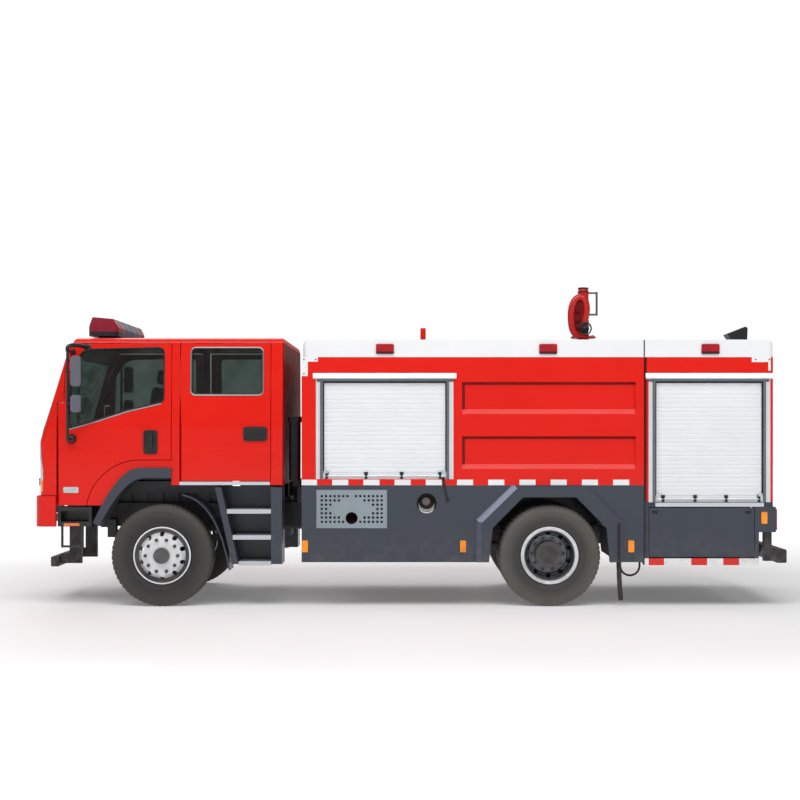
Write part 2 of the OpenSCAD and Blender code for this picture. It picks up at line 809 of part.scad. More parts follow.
module dashboard() {
    color(black) {
        along_y(-dash_half, dash_half) polygon([[front_hinge_x - 60, floor_top],
            [front_hinge_x + 60, floor_top],
            [front_hinge_x + 70, 1730], [front_hinge_x - 20, 1800], [front_hinge_x - 150, 1810],
            [front_hinge_x - 190, 1760], [front_hinge_x - 160, 1620], [front_hinge_x - 90, 1560]]);
        translate(wheel_c) rotate([0, -column_rake + 90, 0]) {
            rotate_extrude() translate([205, 0]) circle(15);
            for (a = [0, 120, 240]) rotate([0, 0, a]) translate([0, -16, -8]) cube([205, 32, 16]);
            translate([0, 0, -25]) cylinder(r = 60, h = 40);
        }
        bar(wheel_c, [front_hinge_x - 120, seat_y, 1660], 32);
    }
}

// Grille bars, head lamps and bumper follow the front outline
grille_bars = 6;
module grille() {
    pitch = (grille_z1 - grille_z0) / grille_bars;
    color(black) intersection() {
        difference() {
            front_upright(6);
            front_upright(44);
        }
        front_zone() {
            for (i = [0 : grille_bars - 1])
                translate([-grille_half, grille_z0 + i * pitch]) square([2 * grille_half, pitch * 0.55]);
            for (y = [-grille_half, -grille_half / 2 - 20, grille_half / 2 - 20, grille_half - 40])
                translate([y, grille_z0]) square([40, grille_z1 - grille_z0]);
        }
        box(front_hinge_x, cab_front_x, -cab_half, cab_half, 0, 3000);
    }
}
lamp_depth = 52;
lamp_proud = 4;
reflector_t = 8;
module head_lamps() {
    color(alloy) both_sides() {
        intersection() {
            difference() {
                front_upright(-lamp_proud);
                front_upright(lamp_depth);
            }
            front_zone() lamp_outline();
            box(front_hinge_x + hinge_r + 40, cab_front_x + 20, 0, cab_half + 20, 0, 3000);
        }
        box(entry_x0 + 125, entry_x0 + 285, cab_half, cab_half + reflector_t, bumper_z0 + 6, bumper_z0 + 34);
    }
}
bumper_z0 = 827;
bumper_z1 = 1141;
bumper_out = 35;
bumper_t = 50;
module front_bumper() {
    color(red) {
        difference() {
            intersection() {
                along_z(bumper_z0, bumper_z1) front_plan(-bumper_out, cab_rear_x);
                box(front_hinge_x + 45, cab_front_x + 100, -2 * cab_half, 2 * cab_half, 0, bumper_z1);
            }
            along_z(bumper_z0 - 1, bumper_z1 + 1) front_plan(bumper_t - bumper_out, cab_rear_x);
            front_zone() round_rect(-500, 500, bumper_z0 + 70, bumper_z0 + 190, 40);
            both_sides() front_zone() round_rect(620, 860, bumper_z0 + 70, bumper_z0 + 190, 40);
        }
        both_sides() intersection() {
            box(rail_front_x, cab_front_x + 10, rail_y, rail_out_y, bumper_z0 + 200, bumper_z1 - 20);
            along_z(0, bumper_z1) front_plan(0, cab_rear_x);
        }
    }
}

// Wheel arch of the cab: red fender band, slate flare, liner
flare_out = [[front_axle_x + 230, 1431], [front_axle_x + 440, 1431], [front_axle_x + 706, 864]];
flare_in = [[front_axle_x + 190, 1325], [front_axle_x + 380, 1325], [front_axle_x + 640, 833]];
flare_proud = 30;
liner_t = 14;
liner_y0 = cab_half - 300;
flare_x0 = front_door_x0 - door_gap;
module under_flare() {
    polygon(concat([[flare_x0, 0], [flare_x0, flare_out[0][1]]],
        curve(flare_out[0], flare_out[1], flare_out[2]),
        [[flare_out[2][0] + 200, 0]]));
}
module fenders() {
    color(red) both_sides() intersection() {
        side_band(flare_x0, cab_front_x, 0, wall_t);
        along_y(0, cab_half) difference() {
            union() {
                translate([arch_x, arch_z]) circle(arch_r - door_gap, $fn = 180);
                translate([flare_x0, side_low_z]) square([arch_x - flare_x0,
                    arch_top_z - door_gap - side_low_z]);
            }
            under_flare();
            translate([0, 0]) square([cab_front_x, side_low_z]);
        }
    }
}
module flare_ring(t) {
    inner = curve(flare_in[0], flare_in[1], flare_in[2]);
    outer = curve(flare_in[0] + [0, t], flare_in[1] + [t, t], flare_in[2] + [t, 0]);
    polygon(concat([[flare_x0, flare_in[0][1]], [flare_x0, flare_in[0][1] + t]], outer,
        [for (i = [len(inner) - 1 : -1 : 0]) inner[i]]));
}
module flares() {
    color(slate) both_sides() {
        along_y(cab_half - skin_t, cab_half + flare_proud) polygon(concat([[flare_x0, flare_in[0][1]],
            [flare_x0, flare_out[0][1]]], curve(flare_out[0], flare_out[1], flare_out[2]),
            [for (i = [8 : -1 : 0]) curve(flare_in[0], flare_in[1], flare_in[2])[i]]));
        along_y(liner_y0, cab_half - skin_t) flare_ring(liner_t);
    }
}

// Crew steps behind the front wheel and entry steps ahead of it
step_x0 = cab_rear_x + 11;
step_x1 = step_x0 + 691;
step_low_z = 442;
step_top_z = 1233;
step_y0 = cab_half - 300;
step_y1 = cab_half + 35;
stile_w = 64;
stile_lean = 178;
tread_zs = [1007, 740, 473];
tread_t = 45;
guard = [[front_axle_x - 215, 1162], [front_axle_x - 590, 1090], [front_axle_x - 709, 380]];
guard_t = 14;
guard_line = curve(guard[0], guard[1], guard[2]);
entry_x0 = flare_out[2][0] + 14;
entry_x1 = front_hinge_x + 30;
function stile_x(z) = step_x1 - stile_lean + (z - step_low_z) * stile_lean / (step_top_z - step_low_z);

module crew_step() {
    along_y(step_y0, step_y1) {
        polygon([[stile_x(step_low_z), step_low_z], [step_x1, step_top_z], [step_x1 - stile_w, step_top_z],
            [stile_x(step_low_z) - stile_w, step_low_z]]);
        translate([step_x0, step_low_z]) square([113, step_top_z - step_low_z]);
    }
    along_y(step_y0, step_y0 + 15) polygon([[step_x0, step_low_z], [stile_x(step_low_z) - 1, step_low_z],
        [step_x1 - 1, step_top_z], [step_x0, step_top_z]]);
    along_y(step_y0, step_y1 - 5) polygon(concat(guard_line,
        [for (i = [8 : -1 : 0]) curve(guard[0] - [0, guard_t], guard[1] - [-guard_t, guard_t],
            guard[2] + [guard_t, 0])[i]]));
    for (p = [guard_line[4], guard_line[7]])
        box(stile_x(p[1]) - 20, p[0] + 4, step_y0, step_y0 + 40, p[1] - 20, p[1] + 20);
    for (x = [step_x0 + 30, step_x1 - 260])
        box(x, x + 60, rail_out_y, step_y0, 880, 960);
}
module entry_panel() {
    difference() {
        box(entry_x0, entry_x1, cab_half - 200, cab_half, bumper_z0, side_low_z - 17);
        box(entry_x0 + 30, entry_x1 - 30, cab_half - 150, cab_half + 1, bumper_z0 + 50, side_low_z - 60);
    }
    box(entry_x0 + 100, entry_x0 + 180, rail_out_y, cab_half - 200, bumper_z0 + 40, bumper_z0 + 120);
}
module steps() {
    color(slate) both_sides() {
        crew_step();
        entry_panel();
    }
}
stirrup_xs = [entry_x0 + 100, entry_x1 - 40];
stirrup_y = cab_half - 30;
stirrup_z = 620;
stirrup_r = 13;
module treads() {
    color(alloy) both_sides() {
        for (z = tread_zs)
            difference() {
                box(step_x0 + 113, stile_x(z - tread_t) - stile_w, step_y0 + 15, step_y1 + 4, z - tread_t, z);
                for (i = [0 : 3])
                    box(step_x0 + 150, stile_x(z) - stile_w - 40, step_y0 + 70 + i * 66,
                        step_y0 + 90 + i * 66,
                        z - 12, z + 1);
            }
        for (x = stirrup_xs) rod_z(x, stirrup_y, stirrup_r, stirrup_z - stirrup_r, bumper_z0);
        rod_x(stirrup_y, stirrup_z, stirrup_r - 1, stirrup_xs[0], stirrup_xs[1]);
    }
}

// Warning light bar across the cab roof
bar_x = cab_front_x - 622;
bar_half = 800;
bar_z0 = roof_edge_z + roof_crown + 20;
bar_depth = 320;
bar_h = 200;
module light_bar() {
    color([0.55, 0.10, 0.20]) {
        intersection() {
            along_y(-bar_half, bar_half) polygon([[bar_x - bar_depth / 2, bar_z0],
                [bar_x - bar_depth / 2, bar_z0 + 90],
                [bar_x - bar_depth / 2 + 50, bar_z0 + bar_h - 20],
                [bar_x + bar_depth / 2 - 50, bar_z0 + bar_h],
                [bar_x + bar_depth / 2, bar_z0 + 90], [bar_x + bar_depth / 2, bar_z0]]);
            along_z(bar_z0, bar_z0 + bar_h)
                round_rect(bar_x - bar_depth / 2, bar_x + bar_depth / 2, -bar_half, bar_half, 70);
        }
        difference() {
            both_sides() box(bar_x - 90, bar_x + 90, 500, 580, roof_edge_z + 20, bar_z0);
            envelope(cab_rear_x, cab_front_x);
        }
    }
}

// Body modules. Side shutters as rows of x0, x1, z0
side_shutters = [[body_front_x - 1560, body_front_x - 148, body_low_z + 62],
    [body_rear_x + 35, seam_x - 46, rail_top_z + 49]];
rear_shutter_half = 780;
rear_shutter_z0 = 1150;
seam_gap = 3;
press_x0 = seam_x + 88;
press_x1 = body_front_x - 1649;
// Pressed panels as rows of z0, z1
presses = [[1984, 2316], [1419, 1758]];
press_slope = 50;

module side_recesses(y) {
    for (p = presses) along_x(press_x0, press_x1) polygon([[y - press_d, p[0] + press_slope], [y + 1, p[0]],
        [y + 1, p[1]], [y - press_d, p[1] - press_slope / 2]]);
}
module shutter_recess(s) {
    box(s[0], s[1], body_half - shutter_d, body_half + 1, s[2], shutter_head_z);
}
module tank_body() {
    color(red) difference() {
        box(seam_x + seam_gap, body_front_x, -body_half, body_half, body_low_z, deck_z);
        both_sides() {
            shutter_recess(side_shutters[0]);
            side_recesses(body_half);
        }
    }
}
module pump_body() {
    color(red) difference() {
        intersection() {
            box(body_rear_x, seam_x - seam_gap, -body_half, body_half, rail_top_z, deck_z);
            along_z(rail_top_z, deck_z) round_rect(body_rear_x, seam_x + 400, -body_half, body_half, 30);
        }
        both_sides() shutter_recess(side_shutters[1]);
        box(body_rear_x - 1, body_rear_x + shutter_d, -rear_shutter_half, rear_shutter_half,
            rear_shutter_z0, shutter_head_z);
    }
}
// Roof coaming round the deck, with stepped corner plates
coaming_proud = 4;
// Long arm and its drop, upright and its drop
module corner_plate(x, d, size) {
    polygon([[x, deck_z + 1], [x + d * size[0], deck_z + 1], [x + d * size[0], deck_z - size[1]],
        [x + d * size[2], deck_z - size[1]], [x + d * size[2], deck_z - size[3]], [x, deck_z - size[3]]]);
}
module coaming() {
    half = body_half + coaming_proud;
    x1 = body_front_x - 14;
    color(white) {
        intersection() {
            along_z(deck_z, deck_z + coaming_h) difference() {
                round_rect(body_rear_x, x1, -half, half, 60);
                round_rect(body_rear_x + coaming_t, x1 - coaming_t, -half + coaming_t, half - coaming_t, 20);
            }
            along_y(-half, half) round_rect(body_rear_x, x1, deck_z - 300, deck_z + coaming_h, 60);
        }
        box(body_rear_x + coaming_t - 1, x1 - coaming_t + 1, 1 - half + coaming_t, half - coaming_t - 1,
            deck_z, deck_z + 12);
        both_sides() along_y(body_half, half) {
            corner_plate(body_front_x, -1, [168, 47, 64, 195]);
            corner_plate(body_rear_x + 31, 1, [194, 51, 24, 140]);
        }
    }
}

// Roller shutters: slatted curtain with a bottom bar, guides, head and drip rail
curtain_t = 20;
curtain_in = 30;
bottom_bar_h = 66;
head_h = 22;
drip_h = 61;
drip_d = 22;
module curtain_section(y, z0, z1) {
    n = floor((z1 - z0) / slat_pitch);
    pitch = (z1 - z0) / n;
    polygon(concat([[y - curtain_t, z1], [y - curtain_t, z0]], [for (i = [0 : n - 1], p = [[-6, 0], [0, 7],
        [0, pitch - 7], [-6, pitch]]) [y + p[0], z0 + i * pitch + p[1]]]));
}
module one_curtain(x0, x1, face, z0) {
    top = shutter_head_z - head_h;
    along_x(x0 + guide_w, x1 - guide_w) curtain_section(face - curtain_in, z0 + bottom_bar_h, top);
    box(x0 + guide_w, x1 - guide_w, face - curtain_in - curtain_t, face - 12, z0, z0 + bottom_bar_h);
}
module one_frame(x0, x1, face, z0) {
    for (x = [x0, x1 - guide_w]) difference() {
        box(x, x + guide_w, face - shutter_d, face + 5, z0, shutter_head_z);
        box(x + 24, x + guide_w - 24, face - 2, face + 6, z0 - 1, shutter_head_z + 1);
    }
    box(x0 + guide_w - 1, x1 - guide_w + 1, face - shutter_d, face + 5, shutter_head_z - head_h,
        shutter_head_z);
    along_x(x0 - 30, x1 + 30) polygon([[face, shutter_head_z], [face + drip_d, shutter_head_z + 6],
        [face + drip_d, shutter_head_z + 18], [face, shutter_head_z + drip_h]]);
}
// Turn a left-side piece to face the rear
module to_rear() {
    translate([body_rear_x, 0, 0]) rotate([0, 0, 90]) children();
}
module shutters() {
    color(white) {
        both_sides() for (s = side_shutters) one_curtain(s[0], s[1], body_half, s[2]);
        to_rear() one_curtain(-rear_shutter_half, rear_shutter_half, 0, rear_shutter_z0);
    }
}
module shutter_frames() {
    color(alloy) {
        both_sides() for (s = side_shutters) one_frame(s[0], s[1], body_half, s[2]);
        to_rear() one_frame(-rear_shutter_half, rear_shutter_half, 0, rear_shutter_z0);
    }
}

// Side skirts with an octagonal wheel arch, and the frame of the flip-down rear steps
arch_cx = rear_axle_x + 8;
arch_in = [[622, 0], [622, skirt_low_z], [584, 817], [274, 1131]];
arch_out = [[752, 0], [752, 874], [382, body_low_z - 10]];
arch_proud = 24;
arch_liner_t = 8;
arch_liner_y0 = 590;
vent_x0 = body_front_x - 878;
vent_x1 = body_front_x - 152;
vent_z0 = 812;
vent_z1 = 1207;
filler_x = (vent_x0 + arch_cx + arch_out[1][0]) / 2 + 51;
filler_z = 1069;
filler_r = 103;
flap_x0 = seam_x - 1131;
flap_x1 = seam_x - 51;
flap_z1 = rail_top_z - 8;
flap_r = skirt_t / 2;
flap_hinge_y = body_half - flap_r;
flap_hinge_z = 509 + flap_r;
beam_z0 = 432;
beam_z1 = 502;
post_w = 42;
rear_low_z = 771;

module arch_shape(points, grow) {
    half = [for (p = points) p + [grow, p[1] == points[len(points) - 1][1] ? grow : 0]];
    translate([arch_cx, 0]) polygon(concat(half, [for (i = [len(half) - 1 : -1 : 0]) [-half[i][0],
        half[i][1]]]));
}
module skirt_plate() {
    difference() {
        union() {
            along_y(body_half - skirt_t, body_half) translate([seam_x + seam_gap, skirt_low_z])
                square([body_front_x - seam_x - seam_gap, body_low_z - skirt_low_z]);
            along_y(body_half - skirt_t, body_half + arch_proud) intersection() {
                arch_shape(arch_out, 0);
                translate([seam_x, skirt_low_z]) square([body_front_x - seam_x, body_low_z - skirt_low_z]);
            }
        }
        along_y(0, body_half + arch_proud + 1) arch_shape(arch_in, 0);
    }
    along_y(arch_liner_y0, body_half - skirt_t) intersection() {
        difference() {
            arch_shape(arch_in, arch_liner_t);
            arch_shape(arch_in, 0);
        }
        translate([seam_x, skirt_low_z + 60]) square([body_front_x - seam_x, body_low_z]);
    }
}
module rear_step_frame() {
    box(flap_x0 - 6, flap_x1 + 6, body_half - 140, body_half, beam_z0, beam_z1);
    box(flap_x1 + 6, seam_x - seam_gap, body_half - 140, body_half, beam_z0, rail_top_z);
    box(flap_x0 - 6 - post_w, flap_x0 - 6, body_half - 140, body_half, beam_z0, rail_top_z);
    box(body_rear_x - 25, flap_x0 - 6 - post_w + 1, body_half - 140, body_half, rear_low_z, rail_top_z);
}
module side_skirts() {
    color(slate) {
        difference() {
            skirt_plate();
            box(vent_x0, vent_x1, 0, body_half + 1, vent_z0, vent_z1);
            rod_y(filler_x, filler_z, filler_r, body_half - skirt_t - 1, body_half + 1);
        }
        mirror([0, 1, 0]) skirt_plate();
        both_sides() rear_step_frame();
    }
}
// Perforated vent panel with a plain diamond round an outlet, and the filler cup
vent_t = 12;
vent_pitch = 44;
vent_hole_r = 13;
outlet = [body_front_x - 514, 915];
outlet_r = 62;
diamond = [250, 150];
module vent_panels() {
    nx = floor((vent_x1 - vent_x0 - 60) / vent_pitch);
    nz = floor((vent_z1 - vent_z0 - 60) / vent_pitch);
    mid = [(vent_x0 + vent_x1) / 2, (vent_z0 + vent_z1) / 2];
    y1 = body_half - 4;
    color(alloy) {
        along_y(y1 - vent_t, y1) difference() {
            translate([vent_x0, vent_z0]) square([vent_x1 - vent_x0, vent_z1 - vent_z0]);
            translate(outlet) circle(outlet_r);
            for (i = [0 : nx - 1], j = [0 : nz - 1]) {
                p = mid + [(i - (nx - 1) / 2) * vent_pitch, (j - (nz - 1) / 2) * vent_pitch];
                if (abs(p[0] - mid[0]) / diamond[0] + abs(p[1] - mid[1]) / diamond[1] > 1
                    && norm(p - outlet) > outlet_r + vent_hole_r + 8)
                        translate(p) circle(vent_hole_r, $fn = 24);
            }
        }
        difference() {
            rod_y(filler_x, filler_z, filler_r, body_half - 130, y1);
            rod_y(filler_x, filler_z, filler_r - 10, body_half - 120, body_half);
        }
        rod_y(filler_x, filler_z, 58, body_half - 121, body_half - 60);
    }
}
module flap() {
    color(slate) difference() {
        union() {
            box(flap_x0, flap_x1, body_half - skirt_t, body_half, flap_hinge_z, flap_z1);
            translate([flap_x0, flap_hinge_y, flap_hinge_z]) rotate([0, 90, 0])
                cylinder(r = flap_r, h = flap_x1 - flap_x0);
        }
        for (x = [flap_x0 + 60, flap_x1 - 60])
            box(x - 30, x + 30, body_half - 8, body_half + 1, flap_z1 - 60, flap_z1 - 30);
    }
}
module flap_left() {
    flap();
}
module flap_right() {
    mirror([0, 1, 0]) flap();
}

// Marker, clearance, tail and reflector lamps
amber_xs = [body_front_x - 35, arch_cx + 888, arch_cx - 839];
clearance_xs = [body_front_x - 857, body_front_x - 2532, body_rear_x + 652];
module lamps() {
    color([0.95, 0.55, 0.05]) {
        both_sides() {
            for (x = amber_xs) along_y(body_half, body_half + 12) round_rect(x - 31, x + 31, 565, 688, 12);
            along_y(body_half, body_half + 12) round_rect(body_rear_x + 66, body_rear_x + 128, 858, 981, 12);
            for (x = clearance_xs) along_y(body_half + coaming_proud, body_half + coaming_proud + 18)
                round_rect(x - 92, x + 92, deck_z + 31, deck_z + 134, 14);
            translate([body_rear_x - 25, 0, 0]) rotate([0, 0, 90]) along_y(0, 14)
                round_rect(body_half - 132, body_half - 12, rear_low_z + 20, rail_top_z - 20, 16);
        }
    }
}

// Deck fittings: vent pipe, work lamp, tank lids, monitor base and the rear ladder
deck_top = deck_z + 12;
pipe_x = body_front_x - 1250;
work_x = body_rear_x + 375;
ladder_y = -980;
ladder_w = 340;
ladder_x = body_rear_x - 108;
base_h = 250;
module roof_fittings() {
    color(red) {
        rod_z(pipe_x, body_half - 200, 28, deck_top, deck_z + 310);
        along_y(body_half - 210, body_half + coaming_proud - 10) polygon([[work_x - 105, deck_z + coaming_h],
            [work_x + 60, deck_z + coaming_h], [work_x + 100, deck_z + coaming_h + 60],
            [work_x - 90, deck_z + coaming_h + 135], [work_x - 110, deck_z + coaming_h + 120]]);
        for (x = [body_front_x - 900, body_front_x - 2000]) {
            rod_z(x, 0, 260, deck_top, deck_top + 60);
            rod_z(x, 0, 285, deck_top + 60, deck_top + 80);
        }
        rod_z(monitor_x, 0, 140, deck_top, deck_top + 24);
        rod_z(monitor_x, 0, 62, deck_top + 24, deck_top + base_h);
        for (y = [ladder_y, ladder_y + ladder_w]) {
            rod_z(ladder_x, y, 20, 620, deck_z + coaming_h - 20);
            for (z = [rail_top_z + 40, deck_z - 60]) rod_x(y, z, 14, ladder_x, body_rear_x);
        }
        for (i = [0 : 6]) rod_y(ladder_x, 720 + i * 290, 15, ladder_y, ladder_y + ladder_w);
    }
}
// Water monitor: turning head with a forked elbow, tilting barrel with nozzle and hand hoop
head_z = deck_top + base_h + 1;
tilt_z = deck_top + monitor_h;
fork_y = 78;
fork_w = 26;
trunnion_r = 28;
barrel_len = 390;
module monitor_head() {
    color(red) difference() {
        union() {
            rod_z(monitor_x, 0, 70, head_z, head_z + 40);
            box(monitor_x - 45, monitor_x + 45, -fork_y - fork_w, fork_y + fork_w, head_z + 20, head_z + 50);
            both_sides() {
                box(monitor_x - 45, monitor_x + 45, fork_y, fork_y + fork_w, head_z + 20, tilt_z);
                rod_y(monitor_x, tilt_z, 45, fork_y, fork_y + fork_w);
            }
        }
        rod_y(monitor_x, tilt_z, trunnion_r + bore_gap, -fork_y - fork_w - 1, fork_y + fork_w + 1);
    }
}
hoop_r = 11;
module monitor_barrel() {
    nozzle_r = waterway_r + 15;
    color([0.65, 0.08, 0.08]) translate([monitor_x, 0, tilt_z]) {
        rod_y(0, 0, trunnion_r, -fork_y - fork_w, fork_y + fork_w);
        rod_y(0, 0, waterway_r + 12, 6 - fork_y, fork_y - 6);
        rotate_extrude() polygon([[0, 0], [waterway_r, 0], [waterway_r, barrel_len * 0.5],
            [nozzle_r, barrel_len * 0.6], [nozzle_r, barrel_len * 0.85], [nozzle_r - 8, barrel_len],
            [0, barrel_len]]);
        for (z = [90, 330]) rod_x(0, z, hoop_r, -150, -20);
        rod_z(-150, 0, hoop_r + 1, 78, 342);
    }
}

// Underrun bars, tow eyes, tanks and ducts carried by the frame
front_bar_x0 = cab_front_x - 80;
front_bar_d = 90;
front_bar_z0 = 345;
front_bar_z1 = 455;
front_bar_half = 470;
front_arm_z0 = 377;
front_arm_z1 = 480;
front_post_x0 = cab_front_x - 310;
front_post_x1 = cab_front_x - 180;
rear_bar_x = body_rear_x - 150;
rear_bar_d = 110;
rear_bar_z0 = 450;
rear_bar_z1 = 590;
rear_arm_z0 = 470;
rear_arm_z1 = 580;
rear_post_x0 = rear_bar_x + 155;
rear_post_x1 = rear_bar_x + 235;
post_y0 = body_half - 130;
post_y1 = body_half - 60;
bar_r = 18;
arm_y0 = rail_y + 10;
arm_y1 = rail_out_y - 10;
module underrun_bars() {
    color(black) {
        along_y(-front_bar_half, front_bar_half)
            round_rect(front_bar_x0, front_bar_x0 + front_bar_d, front_bar_z0, front_bar_z1, bar_r);
        along_y(-post_y1, post_y1)
            round_rect(rear_bar_x, rear_bar_x + rear_bar_d, rear_bar_z0, rear_bar_z1, bar_r);
        both_sides() {
            box(front_post_x0, front_bar_x0 + 1, arm_y0, arm_y1, front_arm_z0, front_arm_z1);
            box(front_post_x0, front_post_x1, arm_y0, arm_y1, front_arm_z1 - 1, rail_low_z);
            along_y(arm_y0, arm_y1) polygon([[rear_bar_x + rear_bar_d - 1, rear_arm_z0],
                [rear_bar_x + rear_bar_d - 1, rear_arm_z1], [rail_rear_x + 10, rail_low_z],
                [rail_rear_x + 160, rail_low_z]]);
            box(rear_bar_x + rear_bar_d - 1, rear_post_x1, post_y0, post_y1, rear_arm_z0, rear_arm_z1);
            box(rear_post_x0, rear_post_x1, post_y0, post_y1, rear_arm_z1 - 1, rear_low_z);
        }
    }
}
eye_bore_r = 22;
module tow_eye(x, y, z, d) {
    difference() {
        union() {
            box(min(x, x + d * 90), max(x, x + d * 90), y - 45, y + 45, z - 25, z + 25);
            rod_z(x + d * 90, y, 45, z - 25, z + 25);
        }
        rod_z(x + d * 90, y, eye_bore_r, z - 26, z + 26);
    }
}
module tow_eyes() {
    color(steel) {
        for (y = [-250, 250]) tow_eye(cross_xs[0] + cross_w / 2, y, rail_top_z - 100, 1);
        tow_eye(cross_xs[4] - cross_w / 2, 0, rail_top_z - 100, -1);
    }
}
duct_x = body_front_x + 35;
// Tanks share the bay between the rear springs and the body front
bay_x0 = rear_axle_x + 855;
bay_x1 = body_front_x - 200;
bay = bay_x1 - bay_x0;
fuel_x0 = bay_x1 - 0.467 * bay;
air_x1 = bay_x0 + 0.367 * bay;
air_r = 110;
air_z = 720;
strap_w = 60;
module under_fittings() {
    color(steel) {
        along_x(fuel_x0, bay_x1) round_rect(-body_half + 280, -rail_out_y - 14, 520, 900, 60);
        for (x = [fuel_x0 + strap_w, bay_x1 - 2 * strap_w])
            box(x, x + strap_w, -rail_out_y - 15, -rail_out_y, 800, 890);
        along_x(fuel_x0 + 100, bay_x1 - 50) round_rect(rail_out_y, body_half - 360, 600, 880, 30);
        both_sides() {
            rod_x(rail_out_y + air_r + 20, air_z, air_r, bay_x0, air_x1);
            for (x = [bay_x0 + strap_w, air_x1 - 2 * strap_w])
                box(x, x + strap_w, rail_out_y, rail_out_y + strap_w, air_z + 20, air_z + 80);
        }
        box(duct_x, duct_x + 70, rail_y, 1050, floor_z - 60, floor_z);
        both_sides() box(duct_x, duct_x + 70, rail_y, rail_out_y, rail_top_z, floor_z - 60);
        along_z(floor_z - 1, 1900) round_rect(duct_x, duct_x + 110, 850, 1060, 30);
        along_z(1900, 1960) round_rect(duct_x - 10, duct_x + 120, 840, 1070, 30);
    }
}

// Free hoses behind the rear wheel: routes in space, swept as round tubes
hose_x = rear_axle_x - 720;
drain_y = body_half - 110;
loop_y = body_half - 180;
// Offset along X from hose_x, height
drain_line = [[0, 690], [0, 620], [0, 550], [0, 480], [-1, 410], [-3, 340], [-6, 270], [-10, 200], [-15, 130],
    [-20, 62]];
loop_line = [[-25, 690], [-25, 620], [-25, 550], [-25, 480], [-25, 410], [-30, 379], [-44, 351], [-66, 329],
    [-94, 315], [-125, 310], [-156, 315], [-184, 329], [-206, 351], [-220, 379], [-225, 410], [-225, 480],
    [-225, 550], [-225, 620], [-225, 690]];
drain_route = [for (p = drain_line) [hose_x + p[0], drain_y, p[1]]];
loop_route = [for (p = loop_line) [hose_x + p[0], loop_y, p[1]]];
drain_d = 50;
loop_d = 22;
hose_sides = 10;
gland_z = 690;
// Rings lie square to the route, in the plane that holds each hose
module hose(route, d) {
    n = len(route);
    rings = [for (i = [0 : n - 1]) let (t = route[min(i + 1, n - 1)] - route[max(i - 1, 0)], u = t / norm(t),
        side = [u[2], 0, -u[0]]) [for (k = [0 : hose_sides - 1]) let (a = k * 360 / hose_sides)
        route[i] + d / 2 * (cos(a) * side + sin(a) * [0, 1, 0])]];
    points = [for (r = rings, p = r) p];
    ends = [[for (k = [0 : hose_sides - 1]) k],
        [for (k = [hose_sides - 1 : -1 : 0]) (n - 1) * hose_sides + k]];
    walls = [for (i = [0 : n - 2], k = [0 : hose_sides - 1]) let (m = (k + 1) % hose_sides)
        [i * hose_sides + k, (i + 1) * hose_sides + k, (i + 1) * hose_sides + m, i * hose_sides + m]];
    polyhedron(points, concat(ends, walls));
}
module drain_hose() {
    color(black) hose(drain_route, drain_d);
}
module loop_hose() {
    color(black) hose(loop_route, loop_d);
}
module hose_glands() {
    ends = [[drain_route[0], drain_d], [loop_route[0], loop_d], [loop_route[len(loop_route) - 1], loop_d]];
    color(steel) {
        for (e = ends) rod_z(e[0][0], e[0][1], e[1] / 2 + 9, gland_z, gland_z + 50);
        box(hose_x - 239, hose_x + 40, loop_y - 30, body_half - skirt_t, gland_z + 49, gland_z + 65);
    }
}

chassis_frame();
powertrain();
front_axle();
rear_axle();
under_fittings();
tow_eyes();
underrun_bars();
knuckle_left();
knuckle_right();
rim_fl();
rim_fr();
rim_rl();
rim_rr();
tyre_fl();
tyre_fr();
tyre_rl();
tyre_rr();
cab_floor();
cab_front();
cab_frame();
cab_roof();
fenders();
windscreen();
dashboard();
seats();
grille();
head_lamps();
front_bumper();
flares();
steps();
treads();
light_bar();
door_fl();
door_fr();
door_rl();
door_rr();
glass_fl();
glass_fr();
glass_rl();
glass_rr();
trim_fl();
trim_fr();
handle_rl();
handle_rr();
tank_body();
pump_body();
coaming();
shutters();
shutter_frames();
side_skirts();
vent_panels();
flap_left();
flap_right();
lamps();
roof_fittings();
monitor_head();
monitor_barrel();
hose_glands();
drain_hose();
loop_hose();
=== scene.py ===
import math

import bmesh
import bpy
from mathutils import Matrix, Vector


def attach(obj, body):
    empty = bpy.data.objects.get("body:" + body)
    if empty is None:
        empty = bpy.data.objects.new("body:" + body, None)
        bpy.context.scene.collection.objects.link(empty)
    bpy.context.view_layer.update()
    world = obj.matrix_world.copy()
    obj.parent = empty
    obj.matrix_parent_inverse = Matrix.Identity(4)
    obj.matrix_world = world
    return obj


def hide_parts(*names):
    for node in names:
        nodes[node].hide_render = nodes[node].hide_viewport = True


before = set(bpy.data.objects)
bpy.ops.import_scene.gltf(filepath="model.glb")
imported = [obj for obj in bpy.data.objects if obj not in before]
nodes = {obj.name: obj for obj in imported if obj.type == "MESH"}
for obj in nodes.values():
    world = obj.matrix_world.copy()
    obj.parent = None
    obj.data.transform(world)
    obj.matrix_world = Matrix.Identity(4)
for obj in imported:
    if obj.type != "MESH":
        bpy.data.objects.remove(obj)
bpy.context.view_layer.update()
scene = bpy.context.scene
# Left side (+Y, the photographed one) and right side
SIDES = (1, -1)
SIDE_NAME = {1: "left", -1: "right"}

# Camera at the photograph's place: square to the left side, eye height 1.85 m
EYE = (-0.009, 16.24, 1.85)
cam_data = bpy.data.cameras.new("photo_camera")
cam_data.sensor_width = 36.0
cam_data.lens = 65.7
cam_data.shift_x = -0.0125
cam_data.shift_y = 0.034
cam_data.clip_end = 200.0
camera = bpy.data.objects.new("photo_camera", cam_data)
camera.location = EYE
camera.rotation_euler = (math.radians(90), 0.0, math.radians(180))
scene.collection.objects.link(camera)
scene.camera = camera
scene.view_settings.view_transform = "Standard"


